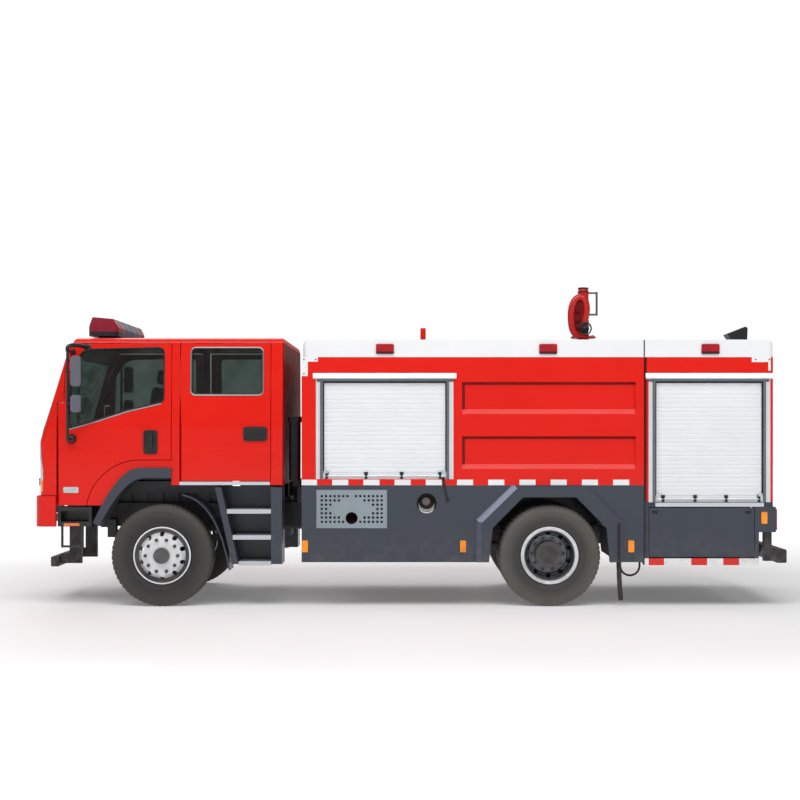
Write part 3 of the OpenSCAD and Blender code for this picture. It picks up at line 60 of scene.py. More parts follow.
# Making pieces
def add(name, mesh_or_curve, body, material):
    """Link a new piece, make it ride on a body and give it a material."""
    obj = bpy.data.objects.new(name, mesh_or_curve)
    scene.collection.objects.link(obj)
    mesh_or_curve.materials.append(material)
    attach(obj, body)
    return obj


def mesh_from(name, bm, smooth=True):
    """Close a bmesh into a mesh."""
    bmesh.ops.recalc_face_normals(bm, faces=bm.faces)
    mesh = bpy.data.meshes.new(name)
    bm.to_mesh(mesh)
    bm.free()
    for p in mesh.polygons:
        p.use_smooth = smooth
    return mesh


def bevel(obj, width):
    """Round the hard edges of a piece."""
    mod = obj.modifiers.new("edge", "BEVEL")
    mod.width = width
    mod.segments = 2
    mod.limit_method = "ANGLE"
    mod.angle_limit = math.radians(35)
    mod.harden_normals = True


# Colours and node materials
def srgb(r, g, b):
    """Linear colour from 0-255 display values."""
    def one(c):
        c /= 255.0
        return c / 12.92 if c <= 0.04045 else ((c + 0.055) / 1.055) ** 2.4
    return (one(r), one(g), one(b), 1.0)


class Shader:
    """A node material with short calls for the usual nodes."""

    def __init__(self, name, **sockets):
        self.mat = bpy.data.materials.new(name)
        self.mat.use_nodes = True
        self.tree = self.mat.node_tree
        self.bsdf = self.tree.nodes["Principled BSDF"]
        self._xyz = None
        self._place = None
        for key, value in sockets.items():
            self.bsdf.inputs[key.replace("_", " ")].default_value = value

    def link(self, out, socket):
        self.tree.links.new(out, socket)

    def put(self, socket, value):
        if isinstance(value, bpy.types.NodeSocket):
            self.link(value, socket)
        else:
            socket.default_value = value

    def set(self, key, value):
        self.put(self.bsdf.inputs[key], value)

    @property
    def place(self):
        if self._place is None:
            self._place = self.tree.nodes.new("ShaderNodeTexCoord").outputs["Object"]
        return self._place

    @property
    def xyz(self):
        if self._xyz is None:
            split = self.tree.nodes.new("ShaderNodeSeparateXYZ")
            self.link(self.place, split.inputs[0])
            self._xyz = split.outputs
        return self._xyz

    def math(self, op, a, b=0.0):
        node = self.tree.nodes.new("ShaderNodeMath")
        node.operation = op
        self.put(node.inputs[0], a)
        self.put(node.inputs[1], b)
        return node.outputs[0]

    def hypot(self, a, b):
        return self.math("SQRT", self.math("ADD", self.math("MULTIPLY", a, a), self.math("MULTIPLY", b, b)))

    def vec(self, op, a, b=(0.0, 0.0, 0.0)):
        node = self.tree.nodes.new("ShaderNodeVectorMath")
        node.operation = op
        self.put(node.inputs[0], a)
        self.put(node.inputs[1], b)
        return node.outputs[0]

    def noise(self, scale, detail=3.0, rough=0.55, place=None):
        node = self.tree.nodes.new("ShaderNodeTexNoise")
        node.inputs["Scale"].default_value = scale
        node.inputs["Detail"].default_value = detail
        node.inputs["Roughness"].default_value = rough
        self.link(place or self.place, node.inputs["Vector"])
        return node.outputs["Fac"]

    def voronoi(self, scale):
        node = self.tree.nodes.new("ShaderNodeTexVoronoi")
        node.inputs["Scale"].default_value = scale
        self.link(self.place, node.inputs["Vector"])
        return node.outputs["Distance"]

    def range(self, value, a, b, c=0.0, d=1.0):
        node = self.tree.nodes.new("ShaderNodeMapRange")
        for socket, v in zip(node.inputs, (value, a, b, c, d)):
            self.put(socket, v)
        return node.outputs[0]

    def mix(self, factor, a, b):
        node = self.tree.nodes.new("ShaderNodeMix")
        node.data_type = "RGBA"
        self.put(node.inputs[0], factor)
        self.put(node.inputs[6], a)
        self.put(node.inputs[7], b)
        return node.outputs[2]

    def marked(self, colour, marks):
        """Colour with marks laid over it in turn; each is a mask maker and its colour."""
        for make_mask, mark in marks:
            colour = self.mix(make_mask(self), colour, mark)
        return colour

    def brightened(self, colour, value):
        node = self.tree.nodes.new("ShaderNodeHueSaturation")
        self.put(node.inputs["Color"], colour)
        self.link(value, node.inputs["Value"])
        return node.outputs[0]

    def band(self, value, low, high):
        above = self.math("GREATER_THAN", value, low)
        return self.math("MULTIPLY", above, self.math("LESS_THAN", value, high))

    def inside(self, low, high):
        """1 inside a box of truck coordinates, mirrored over the centre plane."""
        mid = [(a + b) / 2 for a, b in zip(low, high)]
        half = [(b - a) / 2 for a, b in zip(low, high)]
        mirrored = self.vec("MULTIPLY", self.vec("ABSOLUTE", self.place), (0.0, 1.0, 0.0))
        flat = self.vec("ADD", self.vec("MULTIPLY", self.place, (1.0, 0.0, 1.0)), mirrored)
        off = self.vec("SUBTRACT", self.vec("ABSOLUTE", self.vec("SUBTRACT", flat, mid)), half)
        split = self.tree.nodes.new("ShaderNodeSeparateXYZ")
        self.link(off, split.inputs[0])
        worst = self.math("MAXIMUM", split.outputs[0], split.outputs[1])
        return self.math("LESS_THAN", self.math("MAXIMUM", worst, split.outputs[2]), 0.0)

    def bump(self, height, strength, distance):
        node = self.tree.nodes.new("ShaderNodeBump")
        node.inputs["Strength"].default_value = strength
        node.inputs["Distance"].default_value = distance
        self.link(height, node.inputs["Height"])
        self.link(node.outputs[0], self.bsdf.inputs["Normal"])


DUST = srgb(120, 110, 98)


def weathered(s, colour, dust=0.35, top=0.9, vary=0.10):
    """Colour with faint patches, fine speckle and road dust that thins out upwards."""
    patches = s.range(s.noise(1.6, 4.0), 0.3, 0.7, 1.0 - vary, 1.0 + vary * 0.4)
    shade = s.brightened(colour, patches)
    low = s.range(s.xyz[2], 0.35, top, dust, 0.0)
    streaks = s.range(s.noise(9.0, 6.0, 0.65), 0.42, 0.72)
    return s.mix(s.math("MULTIPLY", low, streaks), shade, DUST)


def paint(name, colour, rough=0.32, coat=0.22, dust=0.35, top=0.9, marks=(), metal=0.0, shine=0.5,
          dull=None):
    """Sprayed paint with orange peel; marks are (mask maker, colour) laid over the base colour.

    dull makes the mask of a part in shade that takes no reflections."""
    s = Shader(name, Coat_Weight=coat, Coat_Roughness=0.06, Metallic=metal, Specular_IOR_Level=shine)
    if dull:
        shade = dull(s)
        s.set("Coat Weight", s.range(shade, 0.0, 1.0, coat, 0.0))
        s.set("Specular IOR Level", s.range(shade, 0.0, 1.0, shine, 0.03))
    s.set("Base Color", weathered(s, s.marked(colour, marks), dust, top, 0.04))
    s.set("Roughness", s.range(s.noise(5.0, 5.0), 0.3, 0.75, rough - 0.04, rough + 0.08))
    s.bump(s.noise(420.0, 1.0), 0.05, 0.0006)
    return s.mat


def metal(name, colour, rough=0.3, metallic=0.9, brushed=(1.0, 1.0, 1.0), marks=()):
    """Metal with fine streaks along the axis whose scale in brushed is smallest."""
    s = Shader(name, Metallic=metallic)
    stretch = s.vec("MULTIPLY", s.place, brushed)
    grain = s.noise(90.0, 5.0, 0.7, stretch)
    s.set("Base Color", weathered(s, s.marked(colour, marks), 0.25, 0.8, 0.12))
    s.set("Roughness", s.range(grain, 0.25, 0.8, rough - 0.08, rough + 0.16))
    s.bump(grain, 0.08, 0.0008)
    return s.mat


def plastic(name, colour, rough=0.5, marks=(), dust=0.3, grain=700.0):
    """Moulded plastic or rubber with a fine grain."""
    s = Shader(name)
    s.set("Base Color", weathered(s, s.marked(colour, marks), dust, 0.9, 0.16))
    s.set("Roughness", s.range(s.noise(30.0, 4.0), 0.3, 0.7, rough - 0.08, rough + 0.1))
    s.bump(s.voronoi(grain), 0.12, 0.0006)
    return s.mat


def lens(name, colour, marks=(), rough=0.12, ribs=130.0, coat=0.8):
    """Lamp lens with moulded ribs."""
    s = Shader(name, Coat_Weight=coat, Coat_Roughness=0.04, Subsurface_Weight=0.15)
    s.bsdf.inputs["Subsurface Radius"].default_value = (0.01, 0.004, 0.003)
    glow = s.range(s.noise(14.0, 2.0), 0.3, 0.7, 0.85, 1.15)
    s.set("Base Color", s.brightened(s.marked(colour, marks), glow))
    s.set("Roughness", s.range(s.noise(40.0), 0.3, 0.7, rough - 0.04, rough + 0.08))
    s.bump(s.math("SINE", s.math("MULTIPLY", s.xyz[0], ribs * 6.0)), 0.25, 0.0012)
    return s.mat


def glazing(name, tint):
    """Clear tinted sheet with faint dust."""
    s = Shader(name, Transmission_Weight=1.0, IOR=1.45, Roughness=0.0)
    film = s.range(s.noise(3.0, 4.0), 0.3, 0.7, 0.0, 0.25)
    s.set("Base Color", s.mix(film, tint, srgb(205, 214, 214)))
    return s.mat


# Paint scheme
RED = srgb(227, 22, 4)
# Red darkened as painted shade, for faces that lie in shade
PAINTED_SHADE_RED = srgb(128, 6, 10)
SLATE = srgb(52, 59, 72)
WHITE = srgb(238, 239, 241)
SILVER = srgb(206, 210, 215)
BLACK = srgb(30, 30, 32)
AMBER = srgb(250, 148, 0)
LENS_RED = srgb(178, 8, 20)
STRIP_PERIOD, STRIP_WHITE = 0.3207, 0.513


def box_mark(low, high):
    """1 inside a box of truck coordinates and its mirror image."""
    return lambda s: s.inside(low, high)


def strip(z0, z1, x0, x1, offset, y0):
    """White blocks of a red and white reflective strip."""
    def mask(s):
        phase = s.math("FRACT", s.math("DIVIDE", s.math("SUBTRACT", s.xyz[0], offset), STRIP_PERIOD))
        white = s.math("LESS_THAN", phase, STRIP_WHITE)
        return s.math("MULTIPLY", white, s.inside((x0, y0, z0), (x1, 2.0, z1)))
    return mask


def ring_mark(x, z, r0, r1, y0=0.0):
    """1 between two radii round a line across the truck, further out than y0."""
    def mask(s):
        dx = s.math("SUBTRACT", s.xyz[0], x)
        dz = s.math("SUBTRACT", s.xyz[2], z)
        far = s.hypot(dx, dz)
        out = s.math("GREATER_THAN", s.math("ABSOLUTE", s.xyz[1]), y0)
        return s.math("MULTIPLY", s.band(far, r0, r1), out)
    return mask


def disc_mark(x, z, r):
    """1 inside a radius round a line across the truck."""
    return ring_mark(x, z, -1.0, r)


def slant_mark(start, end, width):
    """1 along a slanting band on the truck's side, given as (x, z) ends."""
    length = math.dist(start, end)
    ux, uz = (end[0] - start[0]) / length, (end[1] - start[1]) / length

    def mask(s):
        dx = s.math("SUBTRACT", s.xyz[0], start[0])
        dz = s.math("SUBTRACT", s.xyz[2], start[1])
        run = s.math("ADD", s.math("MULTIPLY", dx, ux), s.math("MULTIPLY", dz, uz))
        off = s.math("SUBTRACT", s.math("MULTIPLY", dx, uz), s.math("MULTIPLY", dz, ux))
        return s.math("MULTIPLY", s.band(run, 0.0, length), s.band(off, -width / 2, width / 2))
    return mask


AXLE_Z = 0.526
FRONT_X, REAR_X = 2.55, -1.45
BODY_HALF, CAB_HALF = 1.24, 1.20


def body_red(name, **more):
    """The red of the cab and body."""
    return paint(name, RED, coat=0.12, shine=0.28, **more)


red_paint = body_red("red_paint")
# Cab: rear wall in shade, silver sill strip
cab_back = box_mark((1.2, -0.1, 1.0), (1.305, 1.3, 2.9))
cab_red = body_red("cab_red", dull=cab_back, marks=[
    (cab_back, PAINTED_SHADE_RED),
    (box_mark((1.436, 1.18, 1.25), (2.365, 1.3, 1.29)), SILVER)])
# Pump module: joint to the tank module, slate foot, pale strip under the shutter
pump_red = body_red("pump_red", marks=[
    (box_mark((-2.442, 1.2, 1.0), (-2.41, 1.3, 2.7)), srgb(74, 12, 14)),
    (box_mark((-4.0, -0.1, 0.9), (-2.3, 1.4, 1.083)), SLATE),
    (box_mark((-3.645, 1.2, 1.034), (-2.53, 1.4, 1.074)), srgb(204, 210, 214))])
# The recessed side panels are in shade along their top and front edges
panel_shade = [(box_mark((x, 1.0, z), (-0.54, 1.2393, top)), PAINTED_SHADE_RED)
               for low, under, top in ((2.03, 2.286, 2.32), (1.465, 1.728, 1.76))
               for x, z in ((-2.33, under), (-0.575, low))]
tank_red = body_red("tank_red", marks=panel_shade + [
    (strip(1.254, 1.311, -2.41, 1.12, 0.9465, 1.235), WHITE)])
# Skirts: painted highlights on the edges of the rear wheel arch, joint, dark entry steps, white and red strip
slate_paint = paint("slate_paint", SLATE, rough=0.42, coat=0.15, dust=0.4, top=0.8, marks=[
    (slant_mark((-1.090, 1.245), (-0.712, 0.878), 0.060), srgb(138, 144, 166)),
    (slant_mark((-0.712, 0.878), (-0.712, 0.46), 0.06), srgb(66, 73, 90)),
    (box_mark((-2.442, 1.2, 0.4), (-2.41, 1.3, 1.26)), srgb(36, 40, 49)),
    (box_mark((3.24, 0.3, 0.5), (3.63, 1.3, 1.03)), srgb(26, 26, 29)),
    (box_mark((-3.6, 1.235, 0.43), (-2.42, 1.3, 0.503)), WHITE),
    *((box_mark((x0, 1.235, 0.43), (x1, 1.3, 0.503)), RED)
      for x0, x1 in ((-2.620, -2.461), (-3.062, -2.898), (-3.391, -3.227)))])
# Coaming: grey roof deck
white_paint = paint("white_paint", WHITE, rough=0.35, coat=0.3, marks=[
    (box_mark((-3.68, -0.1, 2.5), (1.03, 1.183, 2.60)), srgb(168, 172, 176))])
shutter_paint = paint("shutter_paint", srgb(238, 241, 244), rough=0.36, coat=0.2, metal=0.15)
frame_black = paint("frame_black", srgb(38, 38, 41), rough=0.5, coat=0.1, dust=0.6)
steel_grey = metal("steel_grey", srgb(96, 97, 100), 0.45, 0.7)
# Shutter frames: painted shade in the gaps beside the curtains and along the top of the frames
RAIL_GAP_SHADE = srgb(112, 120, 126)
rail_metal = metal("rail_metal", srgb(232, 235, 238), 0.34, 0.45, (30.0, 30.0, 1.0), marks=[
    *((box_mark((x0, 1.1, z0), (x1, 1.2455, 2.345)), RAIL_GAP_SHADE)
      for x0, x1, z0 in ((0.883, 0.917, 1.3), (-0.411, -0.383, 1.3),
                         (-2.533, -2.501, 1.0), (-3.668, -3.638, 1.0))),
    (box_mark((-3.70, 1.1, 2.315), (0.95, 1.2455, 2.3435)), RAIL_GAP_SHADE)])
# Vent panel: filler cup painted as a dark recess, with painted shade inside, a painted lit crescent at its
# lower rim and a grey cap
vent_metal = metal("vent_metal", srgb(158, 170, 178), 0.38, 0.6, (1.0, 30.0, 30.0), marks=[
    (disc_mark(-0.18, 1.07, 0.125), srgb(26, 25, 26)),
    (disc_mark(-0.18, 1.045, 0.082), srgb(240, 238, 236)),
    (disc_mark(-0.18, 1.080, 0.080), srgb(40, 34, 34)),
    (disc_mark(-0.175, 1.085, 0.040), srgb(120, 112, 110))])
# Treads: dark entry steps
tread_metal = metal("tread_metal", srgb(214, 219, 224), 0.32, 0.8, (1.0, 1.0, 1.0), marks=[
    (box_mark((3.2, 0.9, 0.5), (3.7, 1.3, 0.9)), srgb(66, 66, 70))])
# Under fittings: painted shade on the part in the gap between cab and body
fittings_metal = metal("fittings_metal", srgb(92, 94, 98), 0.42, 0.6, marks=[
    (box_mark((1.12, -0.1, 1.2), (1.30, 1.2, 2.0)), srgb(34, 34, 36))])
black_plastic = plastic("black_plastic", srgb(34, 34, 37), 0.45)
# Door trim: grey mirror shells
trim_plastic = plastic("trim_plastic", srgb(28, 28, 31), 0.42, marks=[
    (box_mark((3.30, 1.33, 1.98), (3.445, 1.5, 2.62)), srgb(92, 92, 103))])
dash_plastic = plastic("dash_plastic", srgb(58, 59, 63), 0.6, dust=0.0)
floor_mat = plastic("floor_mat", srgb(36, 36, 38), 0.75, grain=180.0)
# Rims: shaded dish, stud ring and hub
front_rim = paint("front_rim", srgb(236, 238, 241), 0.34, 0.3, dust=0.4, top=1.3, metal=0.15, marks=[
    (ring_mark(FRONT_X, AXLE_Z, 0.243, 0.282), srgb(52, 52, 56)),
    (ring_mark(FRONT_X, AXLE_Z, 0.135, 0.205, 1.198), srgb(62, 58, 46)),
    (disc_mark(FRONT_X, AXLE_Z, 0.083), srgb(76, 76, 80))])
rear_rim = paint("rear_rim", srgb(226, 229, 233), 0.36, 0.3, dust=0.45, top=1.3, metal=0.2, marks=[
    (disc_mark(REAR_X, AXLE_Z, 0.262), srgb(56, 60, 68)),
    (disc_mark(REAR_X, AXLE_Z, 0.222), srgb(146, 156, 168)),
    (ring_mark(REAR_X, AXLE_Z, 0.139, 0.205, 0.951), srgb(92, 88, 66)),
    (disc_mark(REAR_X, AXLE_Z, 0.139), srgb(66, 66, 68)),
    (disc_mark(REAR_X, AXLE_Z, 0.098), srgb(48, 48, 50))])
glass = glazing("glass", srgb(104, 118, 112))
# Lamps: amber side markers, red roof markers with dark feet, red tail lamps
lamp_lens = lens("lamp_lens", AMBER, coat=0.2, rough=0.22, marks=[
    (box_mark((-3.8, 1.0, 2.58), (1.2, 1.4, 2.72)), srgb(172, 10, 26)),
    (box_mark((-3.8, 1.0, 2.58), (1.2, 1.4, 2.628)), srgb(70, 16, 26)),
    (box_mark((-3.9, 1.0, 0.76), (-3.765, 1.3, 1.05)), LENS_RED)])
bar_lens = lens("bar_lens", srgb(62, 52, 116), rough=0.3, coat=0.25, marks=[
    (box_mark((3.0, 0.34, 2.7), (3.5, 0.9, 3.1)), srgb(136, 8, 40)),
    (box_mark((3.0, -0.1, 2.70), (3.5, 0.9, 2.862)), BLACK)], ribs=90.0)
head_lens = lens("head_lens", srgb(188, 196, 200), marks=[
    (box_mark((3.60, 1.10, 1.15), (3.9, 1.3, 1.30)), srgb(232, 128, 24)),
    (box_mark((3.2, 1.1, 0.8), (3.6, 1.3, 0.9)), srgb(236, 104, 24))], ribs=60.0)
# Roof fittings: black work lamp, grey hatches, silver ladder
roof_paint = body_red("roof_paint", marks=[
    (box_mark((-3.5, 1.0, 2.74), (-3.2, 1.3, 2.9)), srgb(36, 36, 38)),
    (box_mark((-1.25, -0.1, 2.57), (0.55, 0.4, 2.68)), srgb(180, 184, 188)),
    (box_mark((-3.95, 0.6, 0.5), (-3.74, 1.1, 2.8)), srgb(196, 201, 206))])
monitor_paint = paint("monitor_paint", srgb(196, 18, 14), rough=0.34, marks=[
    (box_mark((-2.2, -0.1, 2.9), (-2.012, 0.1, 3.5)), srgb(96, 90, 90))])
gland_metal = metal("gland_metal", srgb(150, 152, 150), 0.4, 0.8, marks=[
    (box_mark((-2.20, 1.08, 0.68), (-2.13, 1.18, 0.738)), srgb(176, 190, 40))])
hose_rubber = plastic("hose_rubber", srgb(40, 40, 42), 0.6, grain=900.0)

NODE_MATERIAL = {
    "chassis_frame": frame_black, "powertrain": steel_grey, "front_axle": frame_black,
    "rear_axle": frame_black, "under_fittings": fittings_metal, "tow_eyes": steel_grey,
    "underrun_bars": frame_black, "knuckle_left": steel_grey, "knuckle_right": steel_grey,
    "rim_fl": front_rim, "rim_fr": front_rim, "rim_rl": rear_rim, "rim_rr": rear_rim,
    "cab_floor": floor_mat, "cab_front": red_paint, "cab_frame": cab_red, "cab_roof": red_paint,
    "fenders": red_paint, "windscreen": glass, "dashboard": dash_plastic, "grille": black_plastic,
    "head_lamps": head_lens, "front_bumper": red_paint, "flares": slate_paint, "steps": slate_paint,
    "treads": tread_metal, "light_bar": bar_lens, "tank_body": tank_red, "pump_body": pump_red,
    "coaming": white_paint, "shutters": shutter_paint, "shutter_frames": rail_metal,
    "side_skirts": slate_paint, "vent_panels": vent_metal, "flap_left": slate_paint,
    "flap_right": slate_paint, "lamps": lamp_lens, "roof_fittings": roof_paint,
    "monitor_head": monitor_paint, "monitor_barrel": monitor_paint, "hose_glands": gland_metal}
for corner in ("fl", "fr", "rl", "rr"):
    NODE_MATERIAL["door_" + corner] = red_paint
    NODE_MATERIAL["glass_" + corner] = glass
for name in ("trim_fl", "trim_fr", "handle_rl", "handle_rr"):
    NODE_MATERIAL[name] = trim_plastic
for name, material in NODE_MATERIAL.items():
    data = nodes[name].data
    data.materials.clear()
    data.materials.append(material)

# Hard edges of the sheet-metal nodes get a small radius
for name, width in {"tank_body": 0.006, "pump_body": 0.006, "coaming": 0.006, "side_skirts": 0.005,
                    "flap_left": 0.005, "flap_right": 0.005, "shutter_frames": 0.002, "front_bumper": 0.008,
                    "door_rl": 0.005, "door_rr": 0.005, "steps": 0.004, "treads": 0.004,
                    "flares": 0.005, "chassis_frame": 0.004, "cab_frame": 0.004}.items():
    bevel(nodes[name], width)


# Free hoses, on the same routes as the solids
def smooth_route(points, per):
    """Points on a smooth curve through the given ones."""
    out = []
    n = len(points)
    for i in range(n - 1):
        p0, p1 = points[max(i - 1, 0)], points[i]
        p2, p3 = points[i + 1], points[min(i + 2, n - 1)]
        for k in range(per):
            t = k / per
            out.append(0.5 * (2 * p1 + (p2 - p0) * t + (2 * p0 - 5 * p1 + 4 * p2 - p3) * t * t
                              + (3 * p1 - p0 - 3 * p2 + p3) * t * t * t))
    return out + [points[-1]]


def hose(name, points, diameter, **facts):
    """A round hose along a route, in place of its solid node, which is hidden."""
    route = smooth_route([Vector(p) for p in points], 2)
    curve = bpy.data.curves.new(name, "CURVE")
    curve.dimensions = "3D"
    curve.bevel_depth = diameter / 2
    curve.bevel_resolution = 5
    curve.use_fill_caps = True
    spline = curve.splines.new("POLY")
    spline.points.add(len(route) - 1)
    for point, p in zip(spline.points, route):
        point.co = (p.x, p.y, p.z, 1.0)
    spline.use_smooth = True
    obj = add(name, curve, "chassis", hose_rubber)
    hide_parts(facts.pop("node"))


HOSE_X, DRAIN_Y, LOOP_Y = -2.170, 1.130, 1.060
# Routes in millimetres: along X from HOSE_X, and height above the floor
drain_line = [(0, 690), (0, 620), (0, 550), (0, 480), (-1, 410), (-3, 340), (-6, 270), (-10, 200), (-15, 130),
              (-20, 62)]
loop_line = [(-25, 690), (-25, 620), (-25, 550), (-25, 480), (-25, 410), (-30, 379), (-44, 351), (-66, 329),
             (-94, 315), (-125, 310), (-156, 315), (-184, 329), (-206, 351), (-220, 379), (-225, 410),
             (-225, 480), (-225, 550), (-225, 620), (-225, 690)]
hose("drain_tube", [(HOSE_X + x / 1000, DRAIN_Y, z / 1000) for x, z in drain_line], 0.050, node="drain_hose",
     far_end="bare", stiffness="stiff", lay="hanging")
hose("loop_tube", [(HOSE_X + x / 1000, LOOP_Y, z / 1000) for x, z in loop_line], 0.022, node="loop_hose",
     far_end="object", stiffness="medium", lay="hanging")


# Mesh makers: each adds to a bmesh, in truck coordinates
def skin(bm, rings, closed=False):
    """Faces between neighbouring rings of vertices, with a cap at each end of an open row."""
    for a, b in zip(rings, rings[1:] + rings[:1] if closed else rings[1:]):
        n = len(a)
        for k in range(n):
            bm.faces.new((a[k], a[(k + 1) % n], b[(k + 1) % n], b[k]))
    if not closed:
        bm.faces.new(rings[0][::-1])
        bm.faces.new(rings[-1])


def prism(bm, points, y0, y1):
    """Plate with an outline in X and Z, from y0 to y1."""
    skin(bm, [[bm.verts.new((x, y, z)) for x, z in points] for y in (y0, y1)])


def block(bm, low, high):
    """Small bar or pad between two opposite corners."""
    (x0, y0, z0), (x1, y1, z1) = low, high
    prism(bm, [(x0, z0), (x1, z0), (x1, z1), (x0, z1)], y0, y1)


def rounded(x0, x1, z0, z1, r, steps=4):
    """Outline of a rectangle with round corners."""
    out = []
    for cx, cz, start in ((x1 - r, z1 - r, 0), (x0 + r, z1 - r, 90),
                          (x0 + r, z0 + r, 180), (x1 - r, z0 + r, 270)):
        for i in range(steps + 1):
            a = math.radians(start + 90 * i / steps)
            out.append((cx + r * math.cos(a), cz + r * math.sin(a)))
    return out


def circle(sides):
    """Angles of a regular polygon's corners."""
    return [2 * math.pi * k / sides for k in range(sides)]


def sweep(bm, path, r, sides=8, closed=False):
    """Round tube along a path."""
    path = [Vector(p) for p in path]
    n = len(path)
    up = None
    rings = []
    for i in range(n):
        if closed:
            t = path[(i + 1) % n] - path[i - 1]
        else:
            t = path[min(i + 1, n - 1)] - path[max(i - 1, 0)]
        t.normalize()
        if up is None:
            up = Vector((0, 1, 0)) if abs(t.y) < 0.8 else Vector((0, 0, 1))
        up = (up - t * up.dot(t)).normalized()
        side = t.cross(up)
        rings.append([bm.verts.new(path[i] + r * (math.cos(a) * up + math.sin(a) * side))
                      for a in circle(sides)])
    skin(bm, rings, closed)


def turned(bm, profile, origin, axis, sides=24):
    """Solid of revolution; profile is (distance along the axis, radius), closed at both ends."""
    origin, axis = Vector(origin), Vector(axis).normalized()
    u = axis.orthogonal().normalized()
    v = axis.cross(u)
    rings = []
    for h, r in profile:
        rings.append([bm.verts.new(origin + axis * h + (math.cos(a) * u + math.sin(a) * v) * r)
                      for a in circle(sides)])
    skin(bm, rings)


def piece(name, make, body, material, smooth=True, edge=0.0):
    """Build one piece from a function that fills a bmesh."""
    bm = bmesh.new()
    make(bm)
    obj = add(name, mesh_from(name, bm, smooth), body, material)
    if edge:
        bevel(obj, edge)
    elif smooth:
        obj.data.set_sharp_from_angle(angle=math.radians(40))
    return obj


def flip(points, side):
    """Mirror points to the right-hand side when side is -1."""
    return [(p[0], p[1] * side, p[2]) for p in points]


# Tyres with grooves, shoulder lugs and ribbed sidewalls, in place of the plain ones
LUGS = 60
LUG_DEPTH, SHOULDER_CUT = 0.008, 0.035
TYRE_Y, TWIN_Y = 1.065, 0.749
# Half a tyre's section, from the bead to the middle: radius, half width and share of the notch depth
HALF_TYRE = [
    (0.2565, 0.088, 0), (0.299, 0.092, 0), (0.304, 0.108, 0), (0.311, 0.1135, 0), (0.3145, 0.1165, 0),
    (0.318, 0.1145, 0), (0.340, 0.123, 0), (0.352, 0.1262, 0), (0.355, 0.1285, 0), (0.361, 0.1288, 0),
    (0.364, 0.1272, 0), (0.385, 0.1320, 0), (0.405, 0.1345, 0), (0.430, 0.1345, 0), (0.447, 0.1335, 0),
    (0.450, 0.1348, 0), (0.456, 0.1345, 0), (0.459, 0.1322, 0), (0.474, 0.1300, 0), (0.490, 0.1240, 0.1),
    (0.504, 0.1165, 0.3), (0.515, 0.1060, 0.7), (0.522, 0.0960, 1), (0.526, 0.0800, 1), (0.526, 0.0625, 1),
    (0.512, 0.0600, 0), (0.512, 0.0500, 0), (0.526, 0.0475, 1), (0.526, 0.0250, 1), (0.512, 0.0225, 0),
    (0.512, 0.0135, 0), (0.526, 0.0110, 0.6)]


def tyre(bm, axle_x, middle_y):
    """One tyre; notches between the lugs are cut inwards."""
    section = [(r, w, g, 0) for r, w, g in HALF_TYRE] + [(r, -w, g, 2) for r, w, g in HALF_TYRE[::-1]]
    rings = []
    for k, a in enumerate(circle(LUGS * 4)):
        ring = []
        for r, w, g, phase in section:
            rib = 1 if abs(w) < 0.05 else 0
            cut = g if (k + phase + rib) % 4 == 0 else 0.0
            rr = r - LUG_DEPTH * cut
            ww = w * (1 - SHOULDER_CUT * cut) if abs(w) > 0.09 else w
            ring.append(bm.verts.new((axle_x + rr * math.sin(a), middle_y + ww, AXLE_Z + rr * math.cos(a))))
        rings.append(ring)
    skin(bm, rings, True)


s = Shader("tyre_rubber")
band = s.range(s.noise(5.0, 4.0, 0.6), 0.35, 0.7)
height = s.math("SUBTRACT", s.xyz[2], AXLE_Z)
reaches = [s.hypot(s.math("SUBTRACT", s.xyz[0], axle_x), height) for axle_x in (FRONT_X, REAR_X)]
worn = s.range(s.math("MINIMUM", *reaches), 0.36, 0.50)
# Rear tyres get lighter colours than the front ones: painted sunlight
rear = s.math("LESS_THAN", s.xyz[0], 0.0)
wall = s.mix(rear, srgb(40, 39, 40), srgb(58, 56, 55))
tread = s.mix(rear, srgb(70, 66, 62), srgb(98, 94, 89))
s.set("Base Color", s.mix(s.math("MULTIPLY", band, 0.3), s.mix(worn, wall, tread), srgb(84, 79, 73)))
s.set("Roughness", s.range(band, 0.0, 1.0, 0.62, 0.82))
s.bump(s.noise(260.0, 3.0), 0.18, 0.001)
tyre_rubber = s.mat
for corner, axle_x, side, middles in (
        ("fl", FRONT_X, 1, (TYRE_Y,)), ("fr", FRONT_X, -1, (TYRE_Y,)),
        ("rl", REAR_X, 1, (TYRE_Y, TWIN_Y)), ("rr", REAR_X, -1, (TYRE_Y, TWIN_Y))):
    def both(bm, axle_x=axle_x, side=side, middles=middles):
        for middle in middles:
            tyre(bm, axle_x, side * middle)
    obj = piece("tread_tyre_" + corner, both, "wheel_" + corner, tyre_rubber)
    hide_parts("tyre_" + corner)

# Seat cushions: foam pads swollen by a short cloth simulation
s = Shader("seat_cloth", Sheen_Weight=0.35)
weave = s.math("MULTIPLY", s.math("SINE", s.math("MULTIPLY", s.xyz[1], 2200.0)),
               s.math("SINE", s.math("MULTIPLY", s.xyz[2], 2200.0)))
s.set("Base Color", s.mix(s.range(s.noise(60.0, 3.0), 0.3, 0.7), srgb(44, 46, 52), srgb(66, 68, 74)))
s.set("Roughness", s.range(s.noise(20.0), 0.3, 0.7, 0.75, 0.92))
s.bump(weave, 0.2, 0.0008)
seat_cloth = s.mat
SWELL, PAD_CAP = 0.012, 0.016
CHANNELS, CHANNEL_REACH, CHANNEL_DEPTH = (-0.3, 0.0, 0.3), 0.02, 0.007
CLOTH_FRAMES = 15


